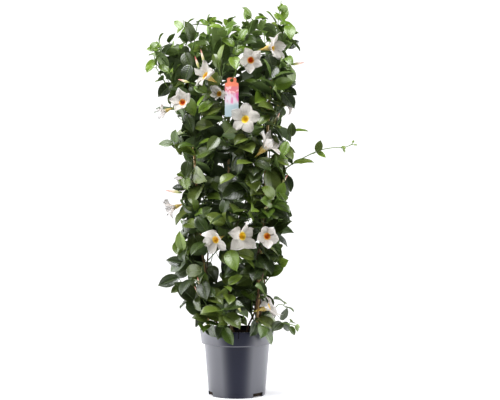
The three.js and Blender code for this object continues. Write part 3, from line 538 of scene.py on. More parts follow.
# Each side shoot: the vine that it leaves, its pairs of leaves by share of its length and size, and its way.
SHOOTS = rows_of("vine seed pairs way",
    ("vine_right_low", 31, ((0.22, 58), (0.52, 42), (0.86, 17), (0.98, 12)), ((128, -72, 664), (172, -66, 688),
     (236, -60, 720), (276, -59, 729), (315, -58, 731), (339, -58, 741))),
    ("vine_right_low", 32, ((0.5, 32), (0.97, 44)), ((116, -88, 706), (136, -92, 738), (150, -90, 768))),
    ("vine_left_low", 33, ((0.5, 60), (0.97, 52)), ((-142, -66, 700), (-162, -76, 722), (-180, -78, 740))),
    ("vine_left_high", 34, ((0.6, 44), (0.97, 48)), ((-128, -58, 566), (-140, -66, 606), (-149, -68, 642))),
    ("vine_left_low", 35, ((0.3, 66), (0.66, 70), (0.97, 58)), ((-118, -48, 372), (-136, -56, 400),
     (-158, -60, 424))),
    ("vine_left_high", 36, ((0.5, 70), (0.97, 62)), ((-112, -56, 272), (-132, -62, 292), (-152, -64, 318))),
    ("vine_right_high", 37, ((0.5, 50), (0.97, 44)), ((84, -76, 338), (104, -82, 362), (128, -84, 384))),
    ("vine_right_high", 38, ((0.62, 48), (0.83, 36), (0.98, 20)), ((80, -66, 226), (108, -74, 222), (138, -76, 219),
     (168, -76, 212))),
    ("vine_left_high", 39, ((0.55, 66), (0.97, 66)), ((-66, -62, 222), (-80, -78, 222), (-92, -90, 208))),
    ("vine_front", 40, ((0.5, 64), (0.97, 68)), ((-26, -78, 226), (-34, -94, 226), (-40, -108, 212))),
    ("vine_right_low", 41, ((0.5, 66), (0.97, 68)), ((48, -62, 226), (58, -84, 230), (70, -104, 214))),
    ("vine_left_low", 42, ((0.5, 48), (0.97, 40)), ((-196, -62, 900), (-216, -70, 930), (-236, -74, 962))),
    ("vine_left_high", 43, ((0.5, 50), (0.97, 38)), ((-136, -40, 1000), (-124, -44, 1050), (-116, -40, 1096))),
    ("vine_right_high", 44, ((0.5, 60), (0.97, 50)), ((122, -64, 1030), (134, -76, 1050), (142, -80, 1080))),
    ("vine_front", 45, ((0.45, 58), (0.97, 44)), ((0, -92, 1000), (30, -88, 1050), (46, -80, 1100))),
    ("vine_back_low", 46, ((0.5, 60), (0.97, 48)), ((-110, 128, 880), (-140, 140, 920), (-160, 142, 960))),
    ("vine_back_high", 47, ((0.5, 64), (0.97, 52)), ((20, 138, 800), (44, 152, 830), (64, 158, 862))),
    ("vine_right_back", 48, ((0.5, 66), (0.97, 60)), ((112, 70, 250), (130, 86, 262), (146, 96, 258))),
    ("vine_left_back", 49, ((0.5, 64), (0.97, 54)), ((-124, 84, 460), (-146, 94, 490), (-166, 98, 520))),
    ("vine_back_low", 50, ((0.5, 66), (0.97, 64)), ((-30, 126, 240), (-34, 138, 250), (-36, 150, 240))),
)
[TAG_SHOOT] = rows_of("vine way", ("vine_front", ((-30, -116, 902), (-15, -136, 913), (-4, -152, 934), (6, -164, 962))))
# Each flower: the middle of its face, which way its solid looks (turned from the front, and up), its spin and size,
# and which way the flower has turned on its stalk.
BLOOMS = rows_of("vine face look spin size turned",
    ("vine_right_high", (104, -104, 1015), (62, 12), 10, 0.98, (58, 6)),
    ("vine_front", (39, -150, 967), (6, 6), 40, 0.86, (8, -15)),
    ("vine_front", (-92, -132, 928), (-62, 4), 0, 0.9, (-52, 21)),
    ("vine_left_low", (-157, -112, 855), (-18, 2), 22, 0.92, (-14, 14)),
    ("vine_left_low", (-212, -100, 828), (-82, -24), 30, 0.55),
    ("vine_front", (-52, -116, 878), (-14, 0), 54, 0.66, (-30, 4)),
    ("vine_front", (22, -152, 801), (8, -6), 8, 1.05, (-25, 14)),
    ("vine_right_high", (86, -128, 730), (62, 40), 60, 0.95, (58, 40)),
    ("vine_left_high", (-190, -46, 554), (-80, -20), 20, 0.68),
    ("vine_left_high", (-62, -140, 460), (16, -4), 35, 1.0, (-32, -14)),
    ("vine_front", (17, -150, 471), (-16, -2), 16, 1.08, (40, 0)),
    ("vine_right_high", (86, -130, 471), (14, 4), 48, 0.95, (12, 8)),
    ("vine_right_low", (94, -92, 267), (64, 8), 26, 0.92, (72, 16)),
    ("vine_back_low", (-70, 172, 760), (190, 8), 12, 0.95),
    ("vine_back_high", (52, 166, 560), (160, 4), 44, 1.0),
    ("vine_right_back", (158, 78, 880), (112, 12), 30, 0.95),
    ("vine_left_back", (-160, 112, 640), (232, 6), 5, 0.92),
)
BLOOM_LENGTH = 50
FRONT_BLOOMS = 13
# Each furled bud: its base and its tip.
BUDS = rows_of("vine base tip",
    ("vine_front", (-94, -108, 966), (-104, -110, 1006)),
    ("vine_left_low", (-108, -116, 948), (-120, -122, 984)),
    ("vine_left_low", (-134, -124, 908), (-168, -130, 917)),
    ("vine_right_low", (158, -42, 975), (199, -40, 982)),
    ("vine_right_low", (100, -118, 784), (123, -120, 825)),
    ("vine_left_high", (-160, -58, 598), (-210, -60, 605)),
    ("vine_right_low", (127, -88, 622), (147, -90, 648)),
    ("vine_front", (74, -118, 544), (97, -120, 564)),
    ("vine_left_low", (-104, -88, 320), (-115, -90, 355)),
    ("vine_left_low", (-100, -98, 292), (-124, -100, 328)),
    ("vine_front", (12, -118, 254), (-10, -120, 288)),
    ("vine_back_high", (4, 146, 900), (14, 160, 938)),
)


def draw(seed, purpose):
    """A repeatable draw from 0 to 1 for one seed and one purpose, as the solids make it."""
    value = math.sin(seed * 12.9898 + purpose * 78.233) * 43758.5453
    return value - math.floor(value)


def square_to(heading):
    """Two directions square to a heading, the first as level as it can be."""
    across = Vector((1, 0, 0)) if abs(heading.z) > 0.95 else UP
    level = heading.cross(across).normalized()
    return level, heading.cross(level).normalized()


def length_of(path):
    return sum((b - a).length for a, b in zip(path, path[1:]))


def span_on(path, distance):
    """The number of the straight span that a distance falls in, and how far along that span it is."""
    i = 1
    while i < len(path) - 1 and distance > (path[i] - path[i - 1]).length:
        distance -= (path[i] - path[i - 1]).length
        i += 1
    return i, distance


def place_on(path, distance):
    """The point and heading at a distance along a path, as the solids have it."""
    i, left = span_on(path, distance)
    heading = (path[i] - path[i - 1]).normalized()
    return path[i - 1] + heading * left, heading


def eased_on(path, distance):
    """The point at a distance along a path whose corners are rounded into one smooth line."""
    i, left = span_on(path, distance)
    a, b = path[i - 1], path[i]
    long = (b - a).length
    leave = (b - path[max(i - 2, 0)]).normalized() * long
    arrive = (path[min(i + 1, len(path) - 1)] - a).normalized() * long
    t = min(left / long, 1)
    return (a * (2 * t ** 3 - 3 * t ** 2 + 1) + leave * (t ** 3 - 2 * t ** 2 + t)
            + b * (3 * t ** 2 - 2 * t ** 3) + arrive * (t ** 3 - t ** 2))


def vine_path(vine):
    x, y = vine.hole
    path = [Vector((x, y, STEM_FOOT)), Vector((x, y, STEM_CLEAR_OF_SOIL))]
    for z in range(TWINE["from"], getattr(vine, "leave", 0) + 1, TWINE["step"]):
        turn = math.radians(vine.phase + 360 * z / TWINE["pitch"])
        path.append(on_cane(CANES[vine.cane], z) + Vector((math.cos(turn), math.sin(turn), 0)) * TWINE["radius"])
    return path + [Vector(place) for place in vine.free]


def solid_corners(name):
    """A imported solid's corners, to find which of the ways open to a shoot or leaf the solid took."""
    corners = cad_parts[name].data.vertices
    found = KDTree(len(corners))
    for i, corner in enumerate(corners):
        found.insert(corner.co / MM, i)
    found.balance()
    return found


def share_met(corners, points):
    """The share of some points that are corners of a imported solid."""
    near = 0.04
    return sum(corners.find(point)[2] < near for point in points) / len(points)


def best_start(plant, target, lowest, corners_from):
    """Where on a vine its solid has a shoot or stalk start: the place whose corners it has, nearest to a target."""
    path, step, ends = plant.path, 6, 10
    count = math.floor((length_of(path) - ends - lowest) / step)
    spots = sorted((lowest + k * step for k in range(count)), key=lambda d: (place_on(path, d)[0] - target).length)
    return max(spots, key=lambda d: share_met(plant.corners, corners_from(place_on(path, d)[0])))


def ring(centre, across, other, radius):
    """The three corners of a thin solid stalk at a place."""
    turns = [2 * math.pi * i / 3 for i in range(3)]
    return [centre + across * radius * math.cos(turn) + other * radius * math.sin(turn) for turn in turns]


def shoot_corners(path):
    """The corners of the solid shoot on a path, without those at its start."""
    across, made, last = square_to((path[1] - path[0]).normalized())[0], [], len(path) - 1
    for k, centre in enumerate(path):
        heading = (path[min(k + 1, last)] - path[max(k - 1, 0)]).normalized()
        across = (across - heading * across.dot(heading)).normalized()
        made += ring(centre, across, heading.cross(across), SHOOT_RADIUS + (TIP_RADIUS - SHOOT_RADIUS) * k / last)
    return made[3:]


def look_of(look):
    turn, rise = map(math.radians, look)
    return Vector((math.sin(turn) * math.cos(rise), -math.cos(turn) * math.cos(rise), math.sin(rise)))


def on_bow(start, seat, heading, t):
    """A point on the curve of a flower stalk."""
    foot = seat - heading * CALYX
    return start * (1 - t) ** 2 + (foot - heading * 0.5 * (start - foot).length) * 2 * t * (1 - t) + foot * t ** 2


def add_stem(plant, path, start_radius, end_radius, ages, knuckles=()):
    """One smooth stem along a path, a little swollen where its leaves sit."""
    whole, step = length_of(path), 7
    count = max(3, round(whole / step))
    row = []
    for k in range(count + 1):
        distance = whole * k / count
        share = k / count
        swollen = min(1, sum(math.exp(-((distance - knuckle) / KNUCKLE["length"]) ** 2) for knuckle in knuckles))
        radius = (start_radius + (end_radius - start_radius) * share) * (1 + KNUCKLE["swell"] * swollen)
        row.append((eased_on(path, distance), radius, ages[0] + (ages[1] - ages[0]) * share))
    plant.stems.append(row)


# What each vine is made of: its path, and its stems as rows of point, radius and age from 0, old, to 1, new.
plants = {}
for vine in VINES:
    plants[vine.name] = SimpleNamespace(
        path=vine_path(vine), corners=solid_corners(vine.name), stems=[], leaves=[], seed=vine.seed)

for shoot in [TAG_SHOOT] + SHOOTS:
    plant, way = plants[shoot.vine], [Vector(place) for place in shoot.way]
    distance = best_start(plant, way[0], SHOOTS_ABOVE, lambda start: shoot_corners([start] + way))
    shoot.path = [eased_on(plant.path, distance)] + way
    shoot.solid_path = [place_on(plant.path, distance)[0]] + way

for bloom in BLOOMS:
    bloom.face, bloom.heading = Vector(bloom.face), look_of(bloom.look)
    bloom.seat = bloom.face - bloom.heading * BLOOM_LENGTH * bloom.size
for bud in BUDS:
    bud.seat, bud.tip = Vector(bud.base), Vector(bud.tip)
    bud.heading = (bud.tip - bud.seat).normalized()
for carried in BLOOMS + BUDS:
    plant, seat, heading = plants[carried.vine], carried.seat, carried.heading

    def middle_ring(start):
        return ring(on_bow(start, seat, heading, 0.5), *square_to(heading), STALK_RADIUS)

    start = eased_on(plant.path, best_start(plant, seat - UP * STALK_DROP, STALKS_ABOVE, middle_ring))
    if hasattr(carried, "turned"):
        carried.heading = heading = look_of(carried.turned)
        seat = carried.face - heading * BLOOM_LENGTH * carried.size
    row = [(on_bow(start, seat, heading, k / 8), STALK_RADIUS * (1.15 - 0.15 * k / 8), 0.8) for k in range(9)]
    plant.stems.append(row + [(seat - heading * 3, STALK_RADIUS * 1.5, 0.85)])


# The leaves: broad, leathery and glossy, in pairs on short stalks, each with a sunk midrib and side veins that
# curve towards its edge. They are dark when grown, painted darker still as shade deep inside the plant, and small and
# fresh green at the tips of stems.

LEAF_LENGTH = 76
LEAF_WIDTH_SHARE = 0.63
LEAF_STALK = 11
LEAF_PAIR_STEP = 63
YOUNG_REACH = 190
# The turns that a leaf may take to be clear of others: in and out of its own plane, and a share of its size.
TURNS = [[0, 0, 1], [26, 8, 1], [-26, 8, 1], [14, 34, 0.95], [-14, -30, 0.95], [52, 0, 0.88],
         [-52, 0, 0.88], [0, 55, 0.85], [20, -45, 0.8], [-75, 20, 0.75], [75, 20, 0.75]]
# The gaps between the canes that stay open, seen from the front: centre x and z, half width, half height.
SEE_THROUGH_SPARE = 8
SEE_THROUGH = [[-66, 396, 24, 30], [-58, 334, 16, 22], [-62, 771, 26, 12], [-48, 684, 20, 18],
               [104, 330, 20, 40], [-152, 690, 16, 12]]
# The room before the tag, and the widths kept free before a flower by how far back along it, for its full size.
TAG_ROOM = {"left": -40, "right": 10, "low": 800, "high": 940, "behind": -131}
FLOWER_ROOM = [(0, 32), (20, 20), (40, 12)]


def pose_leaf(seed, spot, pair_turn, size, youth, turned_by):
    """Where a leaf sits and how it hangs, as the solids have it."""
    at, heading = spot
    swing, tip, scale = turned_by
    level, other = square_to(heading)
    outward = Vector((at.x, at.y, 0)).normalized()
    grown = 1 - youth
    around = level * math.cos(pair_turn) + other * math.sin(pair_turn)
    spread = math.radians(38 + 30 * grown + 12 * (draw(seed, 2) - 0.5))
    stalk = (heading * math.cos(spread) + around * math.sin(spread) + outward * 0.25 * grown).normalized()
    sag = 0.62 * grown - 0.1 + 0.5 * (draw(seed, 3) - 0.5)
    axis = (stalk + outward * 0.4 * grown - UP * sag).normalized()
    tilt = Vector([draw(seed, purpose) - 0.5 for purpose in (4, 5, 6)]) * 0.7
    light = outward * 0.9 + UP * (0.55 + 0.5 * youth) + tilt
    face = (light - axis * light.dot(axis)).normalized()
    axis.rotate(Quaternion(face, math.radians(swing)))
    side = axis.cross(face).normalized()
    for direction in (axis, face):
        direction.rotate(Quaternion(side, math.radians(tip)))
    length = size * scale
    return SimpleNamespace(
        base=at + stalk * LEAF_STALK * (0.5 + 0.5 * length / LEAF_LENGTH), axis=axis, face=face, side=side,
        length=length, width=length * (1.08 * LEAF_WIDTH_SHARE + 0.08 * (draw(seed, 7) - 0.5)) * (1 - 0.16 * youth),
        bend=math.radians(22 + 34 * draw(seed, 8)), fold=math.radians(8 + 14 * draw(seed, 9)),
        tone=draw(seed, 11), youth=youth)


def on_rib(leaf, share):
    """A place along the rib of a leaf, which bends down in an even curve, and the way the blade faces there."""
    bend, long = leaf.bend * share, leaf.length / leaf.bend
    at = leaf.base + leaf.axis * long * math.sin(bend) - leaf.face * long * (1 - math.cos(bend))
    return at, leaf.face * math.cos(bend) + leaf.axis * math.sin(bend)


def spread_over(leaf, *places):
    """Places on a blade, each by its share of the length and how far across in widths."""
    return [on_rib(leaf, share)[0] + leaf.side * leaf.width * across for share, across in places]


def in_see_through(leaf):
    """Whether a leaf would close one of the gaps between the canes."""
    return any(math.hypot((at.x - x) / (wide + SEE_THROUGH_SPARE), (at.z - z) / (high + SEE_THROUGH_SPARE)) < 1
               for at in spread_over(leaf, (0.15, 0), (0.5, 0), (0.85, 0)) for x, z, wide, high in SEE_THROUGH)


def main_pairs(seed, path):
    """The pairs on a main stem as distance, leaf length and youth: closer and smaller towards its tip."""
    whole, pairs = length_of(path), []
    distance = 108 + 30 * draw(seed, 20)
    while distance < whole - 3:
        grown = min(1, (whole - distance) / YOUNG_REACH)
        size = LEAF_LENGTH * (0.86 + 0.28 * draw(seed, 30 + len(pairs))) * (0.36 + 0.64 * grown)
        pairs.append((distance, size, 1 - grown))
        distance += LEAF_PAIR_STEP * (0.5 + 0.5 * grown)
    return pairs


def blade_card(leaf):
    """A leaf's blade as a few flat faces, to tell where leaves would cross."""
    corners, faces = [], []
    for k, (share, wide) in enumerate(((0, 0.3), (0.25, 0.95), (0.5, 1), (0.75, 0.7), (1, 0.06))):
        at, face = on_rib(leaf, share)
        half, lift = leaf.side * leaf.width * wide / 2, face * math.sin(leaf.fold) * leaf.width * wide / 2
        corners += [at + lift - half, at, at + lift + half]
        if k:
            faces += [(3 * k - 3, 3 * k - 2, 3 * k + 1, 3 * k), (3 * k - 2, 3 * k - 1, 3 * k + 2, 3 * k + 1)]
    return BVHTree.FromPolygons(corners, faces)


def hides_flower(leaf):
    """Whether a leaf would stand before the tag or before a flower on the front of the plant, seen from the front."""
    for at in spread_over(leaf, (0.1, 0), (0.4, -0.35), (0.4, 0.35), (0.7, -0.3), (0.7, 0.3), (1, 0)):
        if (TAG_ROOM["left"] < at.x < TAG_ROOM["right"] and TAG_ROOM["low"] < at.z < TAG_ROOM["high"]
                and at.y < TAG_ROOM["behind"]):
            return True
        for bloom in BLOOMS[:FRONT_BLOOMS]:
            for back, wide in FLOWER_ROOM:
                away = at - bloom.face + bloom.heading * back * bloom.size
                if away.y < 12 and math.hypot(away.x, away.z) < wide * bloom.size + 3:
                    return True
    return False


def turned_aside(seed, spot, pair_turn, size, youth):
    """The first turn in which a leaf leaves the flowers in view."""
    for scale in (1, 0.8, 0.6):
        for turned_by in TURNS:
            leaf = pose_leaf(seed, spot, pair_turn, size * scale, youth, turned_by)
            if not hides_flower(leaf):
                return leaf
    return leaf


def turn_to_light(leaf):
    """Rolls a leaf at the plant's edge about its own length, so that its face meets the light from the front."""
    light = Vector((0, -1, 0.25))
    light = (light - leaf.axis * light.dot(leaf.axis)).normalized()
    leaf.face = (leaf.face * 0.3 + light * 0.7).normalized()
    leaf.face = (leaf.face - leaf.axis * leaf.face.dot(leaf.axis)).normalized()
    leaf.side = leaf.axis.cross(leaf.face).normalized()
    leaf.bend *= 0.6


# Leaves at the plant's edge that are turned against their solids, to stand as the real ones do: by their seed, the
# turns in and out of the blade's own plane in degrees, and a share of the size.
EDGE_LEAVES = {
    1107: (-60, 45, 1), 1112: (0, 0, 0.75), 1115: (60, -45, 0.7), 1120: (-20, 25, 1), 1122: (40, -45, 1.15),
    1125: (45, 50, 1.32), 1127: (60, -45, 1.15), 1128: (60, -45, 1), 1201: (-60, 10, 1.15), 1202: (-40, -10, 1),
    1204: (-40, 65, 1.15), 1213: (-60, 25, 1.15), 1217: (-60, -45, 0.85), 1218: (-60, -45, 1.15), 1222: (45, 5, 1.32),
    1224: (-40, 65, 1.15), 1225: (-40, 65, 1), 1226: (0, 65, 1.15), 1303: (-20, 45, 1), 1307: (0, -25, 1),
    1308: (20, 35, 1.32), 1314: (-20, -45, 1.15), 1316: (0, 25, 1), 1321: (60, 65, 0.7), 1323: (-60, 45, 0.85),
    1324: (-60, -45, 1), 1326: (-60, -45, 1.15), 1327: (-60, 45, 1.15), 1407: (20, -10, 1.15), 1410: (20, -10, 1.15),
    1411: (40, -10, 1.15), 1412: (60, 65, 1.15), 1431: (60, 25, 1.15), 1503: (-40, 25, 1), 1506: (15, 15, 1.15),
    1508: (-60, 25, 1), 1526: (-40, -25, 1.32), 1527: (-60, 90, 1.15), 1528: (40, 65, 1), 1606: (20, -45, 1.15),
    1616: (20, -25, 1.15), 1617: (-20, -10, 1.15), 1628: (-60, -25, 1.15), 1629: (-40, 10, 1.15),
    1707: (-60, 45, 1.15), 1711: (-40, 10, 1.15), 1725: (-75, 60, 1.32), 1727: (0, 55, 1.32), 1728: (60, -25, 1.15),
    1802: (60, -25, 1.15), 1806: (0, 65, 1.15), 1807: (40, 10, 1), 1809: (-20, 25, 1.15), 1810: (-20, 45, 1.15),
    1811: (20, -45, 1.15), 1812: (60, -10, 1.15), 1819: (0, 0, 1.15), 1820: (60, -45, 1), 1822: (0, 25, 1.15),
    1826: (-60, -25, 1), 1828: (-80, 35, 1.15), 1904: (0, -25, 1.15), 1905: (60, -45, 1.15), 1908: (40, 65, 1.15),
    1911: (-40, -25, 1), 1912: (20, 65, 1.15), 1916: (-40, -25, 1.15), 1918: (60, -10, 1.15), 1919: (-40, 10, 1.15),
    1921: (-60, -45, 1.15), 1924: (-40, 45, 1.15), 1927: (-20, -25, 1.15), 3105: (60, -10, 1), 3201: (30, -30, 1.4),
    3301: (60, 25, 0.85), 3302: (40, 25, 0.85), 3303: (40, 5, 0.85), 3402: (-45, -60, 1), 3500: (-40, -45, 1),
    3502: (0, 0, 1.2), 3503: (-55, -10, 1), 3600: (-40, 10, 1.15), 3601: (0, 45, 1.15), 3702: (60, 65, 1),
    3703: (-160, -35, 1.37), 3800: (-75, -30, 1), 3803: (60, -45, 1), 3805: (-15, -30, 1), 3901: (0, 45, 0.85),
    3902: (40, 25, 1), 4000: (0, 65, 1), 4201: (-20, -10, 0.7), 4203: (0, -10, 0.85), 4300: (-20, 75, 1.32),
    4302: (30, -30, 1), 4403: (-60, -45, 1.15), 4501: (40, -70, 1.15), 4800: (60, -25, 1.15), 4802: (40, -45, 1),
    4803: (20, -10, 0.7), 4902: (-60, -45, 1), 4903: (60, 25, 1.15),
}
LIT_SHOOTS = range(31, 39)
RIM_LEAVES_BELOW = 240
RIM_LEAF_SHARE = 0.84
RIM_LEAF_TONE = 0.3
POSED_BEND_SHARE = 0.5
COLUMN_RADII = (145, 110)
# Leaves that stand clear of the rest, posed one by one: by their seed, how far the blade sits from where the solid's
# does, the way it grows, the way it faces, its length, tone and youth.
POSED_LEAVES = {
    3100: ((16, 0, 3), (1, -0.12, 0.1), (0, -0.5, 1), 62, 0.8, 0.35),
    3101: ((-12, 0, -22), (0.35, -0.2, -0.9), (0.1, -1, 0.2), 54, 0.1, 0),
    3102: ((11, 0, 7), (0.28, -0.1, 1), (0, -1, 0.15), 38, 0.5, 0),
    3103: ((14, 0, 3), (0.85, -0.15, -0.55), (0.2, -0.75, 0.6), 34, 0.9, 0.6),
    3202: ((7, 0, -14), (0.06, -0.1, 1), (0.1, -1, 0.2), 42, 0.3, 0),
    3203: ((4, 0, 6), (1, 0, 0.12), (0, -0.35, 1), 50, 0.8, 0.7),
    3400: ((-2, 34, 4), (-0.95, 0.05, 0.12), (0, -0.8, 0.6), 46, 0.07, 0),
    3504: ((13, 0, -30), (-0.98, -0.1, 0.2), (0, -1, 0.25), 56, 0.02, 0),
    3602: ((-9, -2, 35), (-0.94, -0.1, -0.34), (0, -1, 0.25), 66, 0.02, 0),
    3603: ((-4, -2, 4), (-0.85, -0.2, -0.42), (0.1, -0.7, 0.75), 48, 0.5, 0.2),
    3903: ((2, 0, 4), (0.75, -0.4, -0.4), (0, -0.8, 0.6), 40, 0.1, 0),
    4801: ((14, -12, -40), (0.5, -0.15, 0.85), (0.7, -0.75, 0.2), 44, 0.2, 0),
}
placed_cards = []


def pose_by_hand(leaf, shift, axis, face, length, tone, youth):
    """Gives a leaf a place, a way to grow and face, and a size, tone and youth of its own."""
    axis = Vector(axis).normalized()
    face = Vector(face) - axis * axis.dot(Vector(face))
    leaf.axis, leaf.face, leaf.side = axis, face.normalized(), axis.cross(face).normalized()
    leaf.base, leaf.bend = leaf.base + Vector(shift), leaf.bend * POSED_BEND_SHARE
    leaf.length, leaf.width = length, leaf.width * length / leaf.length
    leaf.tone, leaf.youth = tone, youth


def keep_leaf(plant, leaf):
    """Adds a leaf to a vine."""
    plant.leaves.append(leaf)
    placed_cards.append((on_rib(leaf, 0.5)[0], blade_card(leaf)))


def paint_shade_inside(leaf):
    """Paints shade on leaves deep inside the column: their tone is darkened towards the plant's axis, where shade
    falls.
    """
    out = leaf.base.x ** 2 / COLUMN_RADII[0] ** 2 + leaf.base.y ** 2 / COLUMN_RADII[1] ** 2
    leaf.tone *= min(1, 0.3 + 0.7 * out)


def pair_seeds(seed, k):
    """The turn of a pair about its stem, and each of its two leaves' seed and own turn."""
    turn = math.radians(90 * k + 40 * (draw(seed + k, 1) - 0.5) + 360 * draw(seed, 10))
    return [(seed * 100 + k * 2 + half, turn + half * math.pi) for half in (0, 1)]


def as_solid(plant, seed, spot, turn, size, youth):
    """The turn that a leaf's solid took, found by its tip, or none."""
    for turned_by in TURNS:
        leaf = pose_leaf(seed, spot, turn, size, youth, turned_by)
        if share_met(plant.corners, [on_rib(leaf, 1)[0]]):
            return leaf, turned_by
    return None, None


def grow_solid_pairs(plant, path, pairs, seed):
    """The leaves that the vine's solid has, some of them turned, rolled, made smaller or posed anew."""
    for k, (distance, size, youth) in enumerate(pairs):
        spot = place_on(path, distance)
        for leaf_seed, turn in pair_seeds(seed, k):
            leaf, turned_by = as_solid(plant, leaf_seed, spot, turn, size, youth)
            if not leaf:
                continue
            if leaf_seed in EDGE_LEAVES:
                swing, tip, scale = EDGE_LEAVES[leaf_seed]
                turned_by = (turned_by[0] + swing, turned_by[1] + tip, turned_by[2] * scale)
                leaf = pose_leaf(leaf_seed, spot, turn, size, youth, turned_by)
            if hides_flower(leaf):
                leaf = turned_aside(leaf_seed, spot, turn, size, youth)
            if seed in LIT_SHOOTS:
                turn_to_light(leaf)
            if leaf.base.z < RIM_LEAVES_BELOW and on_rib(leaf, 1)[0].z < POT_HEIGHT:
                leaf.length, leaf.width = leaf.length * RIM_LEAF_SHARE, leaf.width * RIM_LEAF_SHARE
                leaf.tone *= RIM_LEAF_TONE
            if leaf_seed in POSED_LEAVES:
                pose_by_hand(leaf, *POSED_LEAVES[leaf_seed])
            leaf.joint = eased_on(path, distance)
            # Shade deep inside the plant is painted on as a darker tone.
            paint_shade_inside(leaf)
            keep_leaf(plant, leaf)


for shoot in SHOOTS:
    plant, whole, count = plants[shoot.vine], length_of(shoot.solid_path), len(shoot.pairs)
    pairs = [(share * whole, size, 0.25 + 0.6 * k / count) for k, (share, size) in enumerate(shoot.pairs)]
    grow_solid_pairs(plant, shoot.solid_path, pairs, shoot.seed)
    add_stem(plant, shoot.path, SHOOT_RADIUS, 1.0, (0.62, 0.95), [pair[0] for pair in pairs])
add_stem(plants["vine_front"], TAG_SHOOT.path, SHOOT_RADIUS, 1.1, (0.6, 0.85))
for plant in plants.values():
    plant.pairs = main_pairs(plant.seed, plant.path)
    grow_solid_pairs(plant, plant.path, plant.pairs, plant.seed)
    add_stem(plant, plant.path, STEM_RADIUS * 0.9, 1.0, (0, 1), [pair[0] for pair in plant.pairs])


# More leaves than the solids have: a pair half way between each two on the main stems, and short twigs from the
# joints, with two or three pairs each. Each takes the first turn in which it crosses nothing and hides no flower.

CROWD_REACH = 90
# How far the plant's outline reaches to the left and right by height, and how high its crown is from left to right.
COLUMN = [
    (170, -110, 125), (230, -128, 128), (290, -160, 108), (340, -195, 112), (400, -190, 138), (450, -172, 124),
    (520, -160, 150), (600, -160, 156), (680, -160, 160), (740, -178, 150), (790, -158, 128), (835, -180, 130),
    (860, -196, 158), (930, -198, 164), (960, -238, 158), (1020, -246, 158), (1060, -200, 170), (1110, -190, 166),
    (1200, -160, 150)
]
CROWN = [
    (-300, 1034), (-204, 1034), (-196, 1098), (-150, 1098), (-125, 1060), (-104, 1104), (-70, 1104), (-50, 1088),
    (-10, 1104), (20, 1132), (60, 1122), (110, 1122), (132, 1140), (152, 1096), (300, 1074)
]
LOOSE_TURN = 75
TOP_LEAF = 52
COLUMN_FRONT = -185
COLUMN_BACK = 196
# The room kept free before every flower's face, from just behind it, and its radius for a flower of full size.
FACE_ROOM = {"from": -14, "to": 90, "radius": 38}
LONG_TWIG = 75
# Leaves that show apart at the crown and the sides, and some that hang before the canes: the vine each grows on, where
# its blade starts and ends, its tone and youth.
SHOWN_LEAVES = [
    ("vine_right_high", (132, -20, 1112), (109, -28, 1130), 0.9, 0.6),
    ("vine_right_high", (133, -22, 1111), (150, -26, 1148), 0.7, 0.6),
    ("vine_right_high", (132, -18, 1139), (120, -24, 1154), 0.9, 0.8),
    ("vine_right_high", (132, -18, 1142), (133, -22, 1158), 0.9, 0.9),
    ("vine_front", (-25, -40, 1085), (-13, -46, 1113), 0.7, 0.5),
    ("vine_front", (-25, -40, 1085), (-38, -48, 1108), 0.9, 0.5),
    ("vine_left_high", (-80, -30, 1096), (-61, -38, 1118), 0.8, 0.6),
    ("vine_left_high", (-84, -30, 1095), (-109, -40, 1109), 0.6, 0.6),
    ("vine_left_high", (-89, -45, 1059), (-110, -55, 1062), 0.6, 0.5),
    ("vine_left_low", (-238, -45, 1018), (-266, -50, 1021), 0.9, 0.6),
    ("vine_left_low", (-237, -45, 1018), (-236, -45, 1045), 0.7, 0.6),
    ("vine_left_low", (-240, -45, 988), (-269, -50, 953), 0.8, 0.6),
    ("vine_left_low", (-191, -60, 915), (-231, -70, 878), 0.15, 0.1),
    ("vine_right_low", (150, -30, 1026), (183, -36, 1049), 0.1, 0.1),
    ("vine_right_low", (139, -40, 915), (174, -48, 919), 0.1, 0.1),
    ("vine_left_low", (-151, -75, 1003), (-134, -92, 947), 0.3, 0.1),
    ("vine_left_high", (-136, -80, 964), (-153, -96, 915), 0.15, 0.1),
    ("vine_left_high", (-147, -85, 871), (-122, -104, 819), 0.6, 0.4),
    ("vine_left_low", (-145, -80, 819), (-127, -96, 768), 0.2, 0.1),
    ("vine_right_high", (90, -85, 995), (106, -100, 943), 0.2, 0.1),
    ("vine_right_low", (113, -80, 958), (83, -98, 915), 0.1, 0.1),
    ("vine_right_low", (132, -70, 884), (168, -84, 842), 0.1, 0.1),
    ("vine_right_high", (138, -60, 902), (176, -66, 884), 0.2, 0.1),
    ("vine_left_low", (-144, -60, 617), (-171, -66, 636), 0.6, 0.5),
    ("vine_left_high", (-142, -70, 690), (-150, -84, 640), 0.3, 0.2),
]
SHOWN_LEAF_SEED = 9000
STEPS_ASIDE = (0, -8, 8, -16, 16, -24, 24, -32)


def row_between(table, value):
    """A table's row of numbers for a value that lies between two of its rows."""
    before, after = next(pair for pair in zip(table, table[1:]) if pair[1][0] > value or pair[1] is table[-1])
    place = min(1, max(0, (value - before[0]) / (after[0] - before[0])))
    return [a + (b - a) * place for a, b in zip(before[1:], after[1:])]


def reaches_out(leaf):
    """Whether a leaf would reach out of the column, or lie close before a flower's face."""
    for at in spread_over(leaf, (0.1, 0), (0.5, -0.36), (0.5, 0.36), (1, 0)):
        (left, right), (crown,) = row_between(COLUMN, at.z), row_between(CROWN, at.x)
        if not (left < at.x < right and COLUMN_FRONT < at.y < COLUMN_BACK and at.z < crown):
            return True
        for bloom in BLOOMS:
            away = at - bloom.face
            ahead = away.dot(bloom.heading)
            near = (away - bloom.heading * ahead).length < FACE_ROOM["radius"] * bloom.size
            if near and FACE_ROOM["from"] < ahead < FACE_ROOM["to"]:
                return True
    return False


def crosses_leaf(leaf):
    middle, card = on_rib(leaf, 0.5)[0], blade_card(leaf)
    return any((middle - other).length < CROWD_REACH and card.overlap(other_card)
               for other, other_card in placed_cards)


